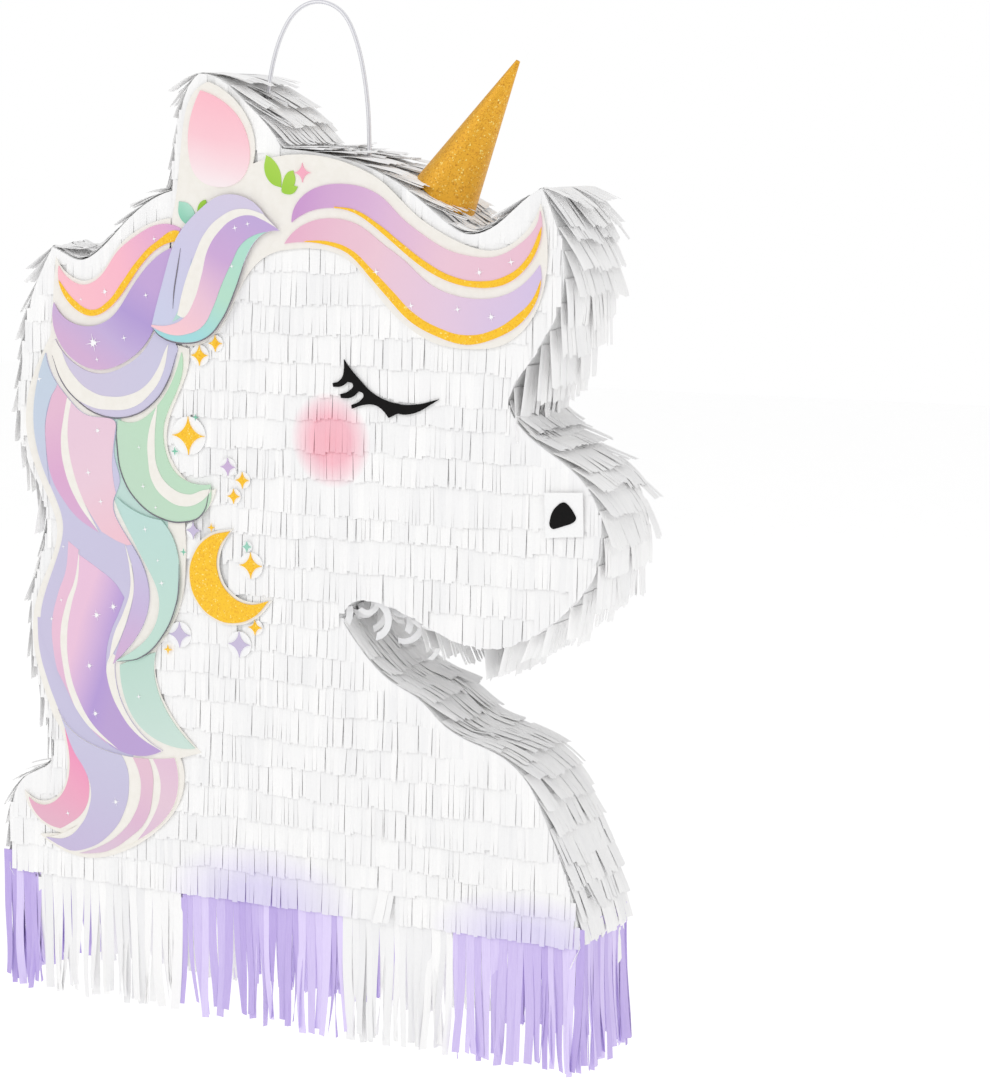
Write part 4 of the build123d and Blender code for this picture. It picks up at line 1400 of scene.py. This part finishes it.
ABOVE_STRIPES = 0.26 * MM  # sparkles stand in front of every ink on the lock
BIG_SPARKLE = 2.4  # from this reach on, a sparkle has eight points
for lock, places in SPARKLES.items():
    top = card_face(LOCK_LAYER[lock]) - ABOVE_STRIPES
    stars = []
    for x, z, reach in places:
        stars.append((x, z, reach * 0.95, top, 8 if reach > BIG_SPARKLE else 4, 0.16, math.radians(12)))
        stars.append((x, z, reach * 0.34, top - 0.02 * MM, 6, 0.99, 0))
    stars_piece(f"{lock}_sparkles", stars, sparkle_white)
print("sparkles", sum(len(places) for places in SPARKLES.values()))

# %% Tiny stars
TINY_STARS = [
    # name, material, slot, places
    ("tiny_gold_stars", gold_glitter, "gold_glitter", [(127, 184, 2.3), (101, 122, 2.7)]),
    ("tiny_mint_stars", leaf_mint, "lilac_print", [(107, 220, 2.2), (111, 171, 1.9), (119, 237, 1.8)]),
]
for name, paper, slot, places in TINY_STARS:
    front = card_face(0) - 0.03 * MM
    stars_piece(name, [(x, z, reach, front, 4, 0.30, 0) for x, z, reach in places], paper)
print("tiny stars", [name for name, *_ in TINY_STARS])

# %% [markdown]
# ## Studio
# The pinata hangs over a pale floor. A big soft light from the front left models the tissue,
# a weaker one fills the muzzle's side, a third from above lights the top rows, and a bright world
# keeps the shadows between the rows light.

# %% Studio
bpy.ops.mesh.primitive_plane_add(size=12.0, location=(0.0, 0.0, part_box("skirt_front_white")[0].z - 0.30))
floor = bpy.context.object
floor.name = "studio_floor"
studio_white = speckled("studio_white", (1.0, 1.0, 1.0), (0.995, 0.995, 0.995), 0.9, 20, 20, 0.0)
studio_white.node_tree.nodes["Principled BSDF"].inputs["Emission Color"].default_value = (1, 1, 1, 1)
studio_white.node_tree.nodes["Principled BSDF"].inputs["Emission Strength"].default_value = 0.35
floor.data.materials.append(studio_white)
bpy.ops.object.transform_apply(location=True, rotation=True, scale=True)


def soft_light(name, location, target, size, watts):
    """A square area light that looks at a point."""
    bpy.ops.object.light_add(type="AREA", location=location)
    light = bpy.context.object
    light.name = name
    light.data.size = size
    light.data.energy = watts
    light.rotation_euler = (Vector(target) - Vector(location)).to_track_quat("-Z", "Y").to_euler()


soft_light("key", (-1.1, -1.6, 1.1), (0.0, 0.0, -0.2), 0.9, 8.0)
soft_light("fill", (1.9, -0.7, 0.7), (0.05, 0.0, -0.2), 1.4, 5.0)
soft_light("top", (0.1, -0.15, 1.5), (0.0, 0.0, 0.0), 1.0, 3.5)
ROOM_AS_LIGHT = 0.64
ROOM_AS_SEEN = 1.0
world = bpy.data.worlds.new("bright_room")
world.use_nodes = True
room = world.node_tree.nodes["Background"]
room.inputs["Color"].default_value = (1.0, 1.0, 1.0, 1.0)
seen = world.node_tree.nodes.new("ShaderNodeLightPath")
strength = world.node_tree.nodes.new("ShaderNodeMapRange")
strength.inputs["To Min"].default_value = ROOM_AS_LIGHT
strength.inputs["To Max"].default_value = ROOM_AS_SEEN
world.node_tree.links.new(seen.outputs["Is Camera Ray"], strength.inputs["Value"])
world.node_tree.links.new(strength.outputs["Result"], room.inputs["Strength"])
bpy.context.scene.world = world
bpy.context.scene.view_settings.view_transform = "Standard"
print("studio lit")
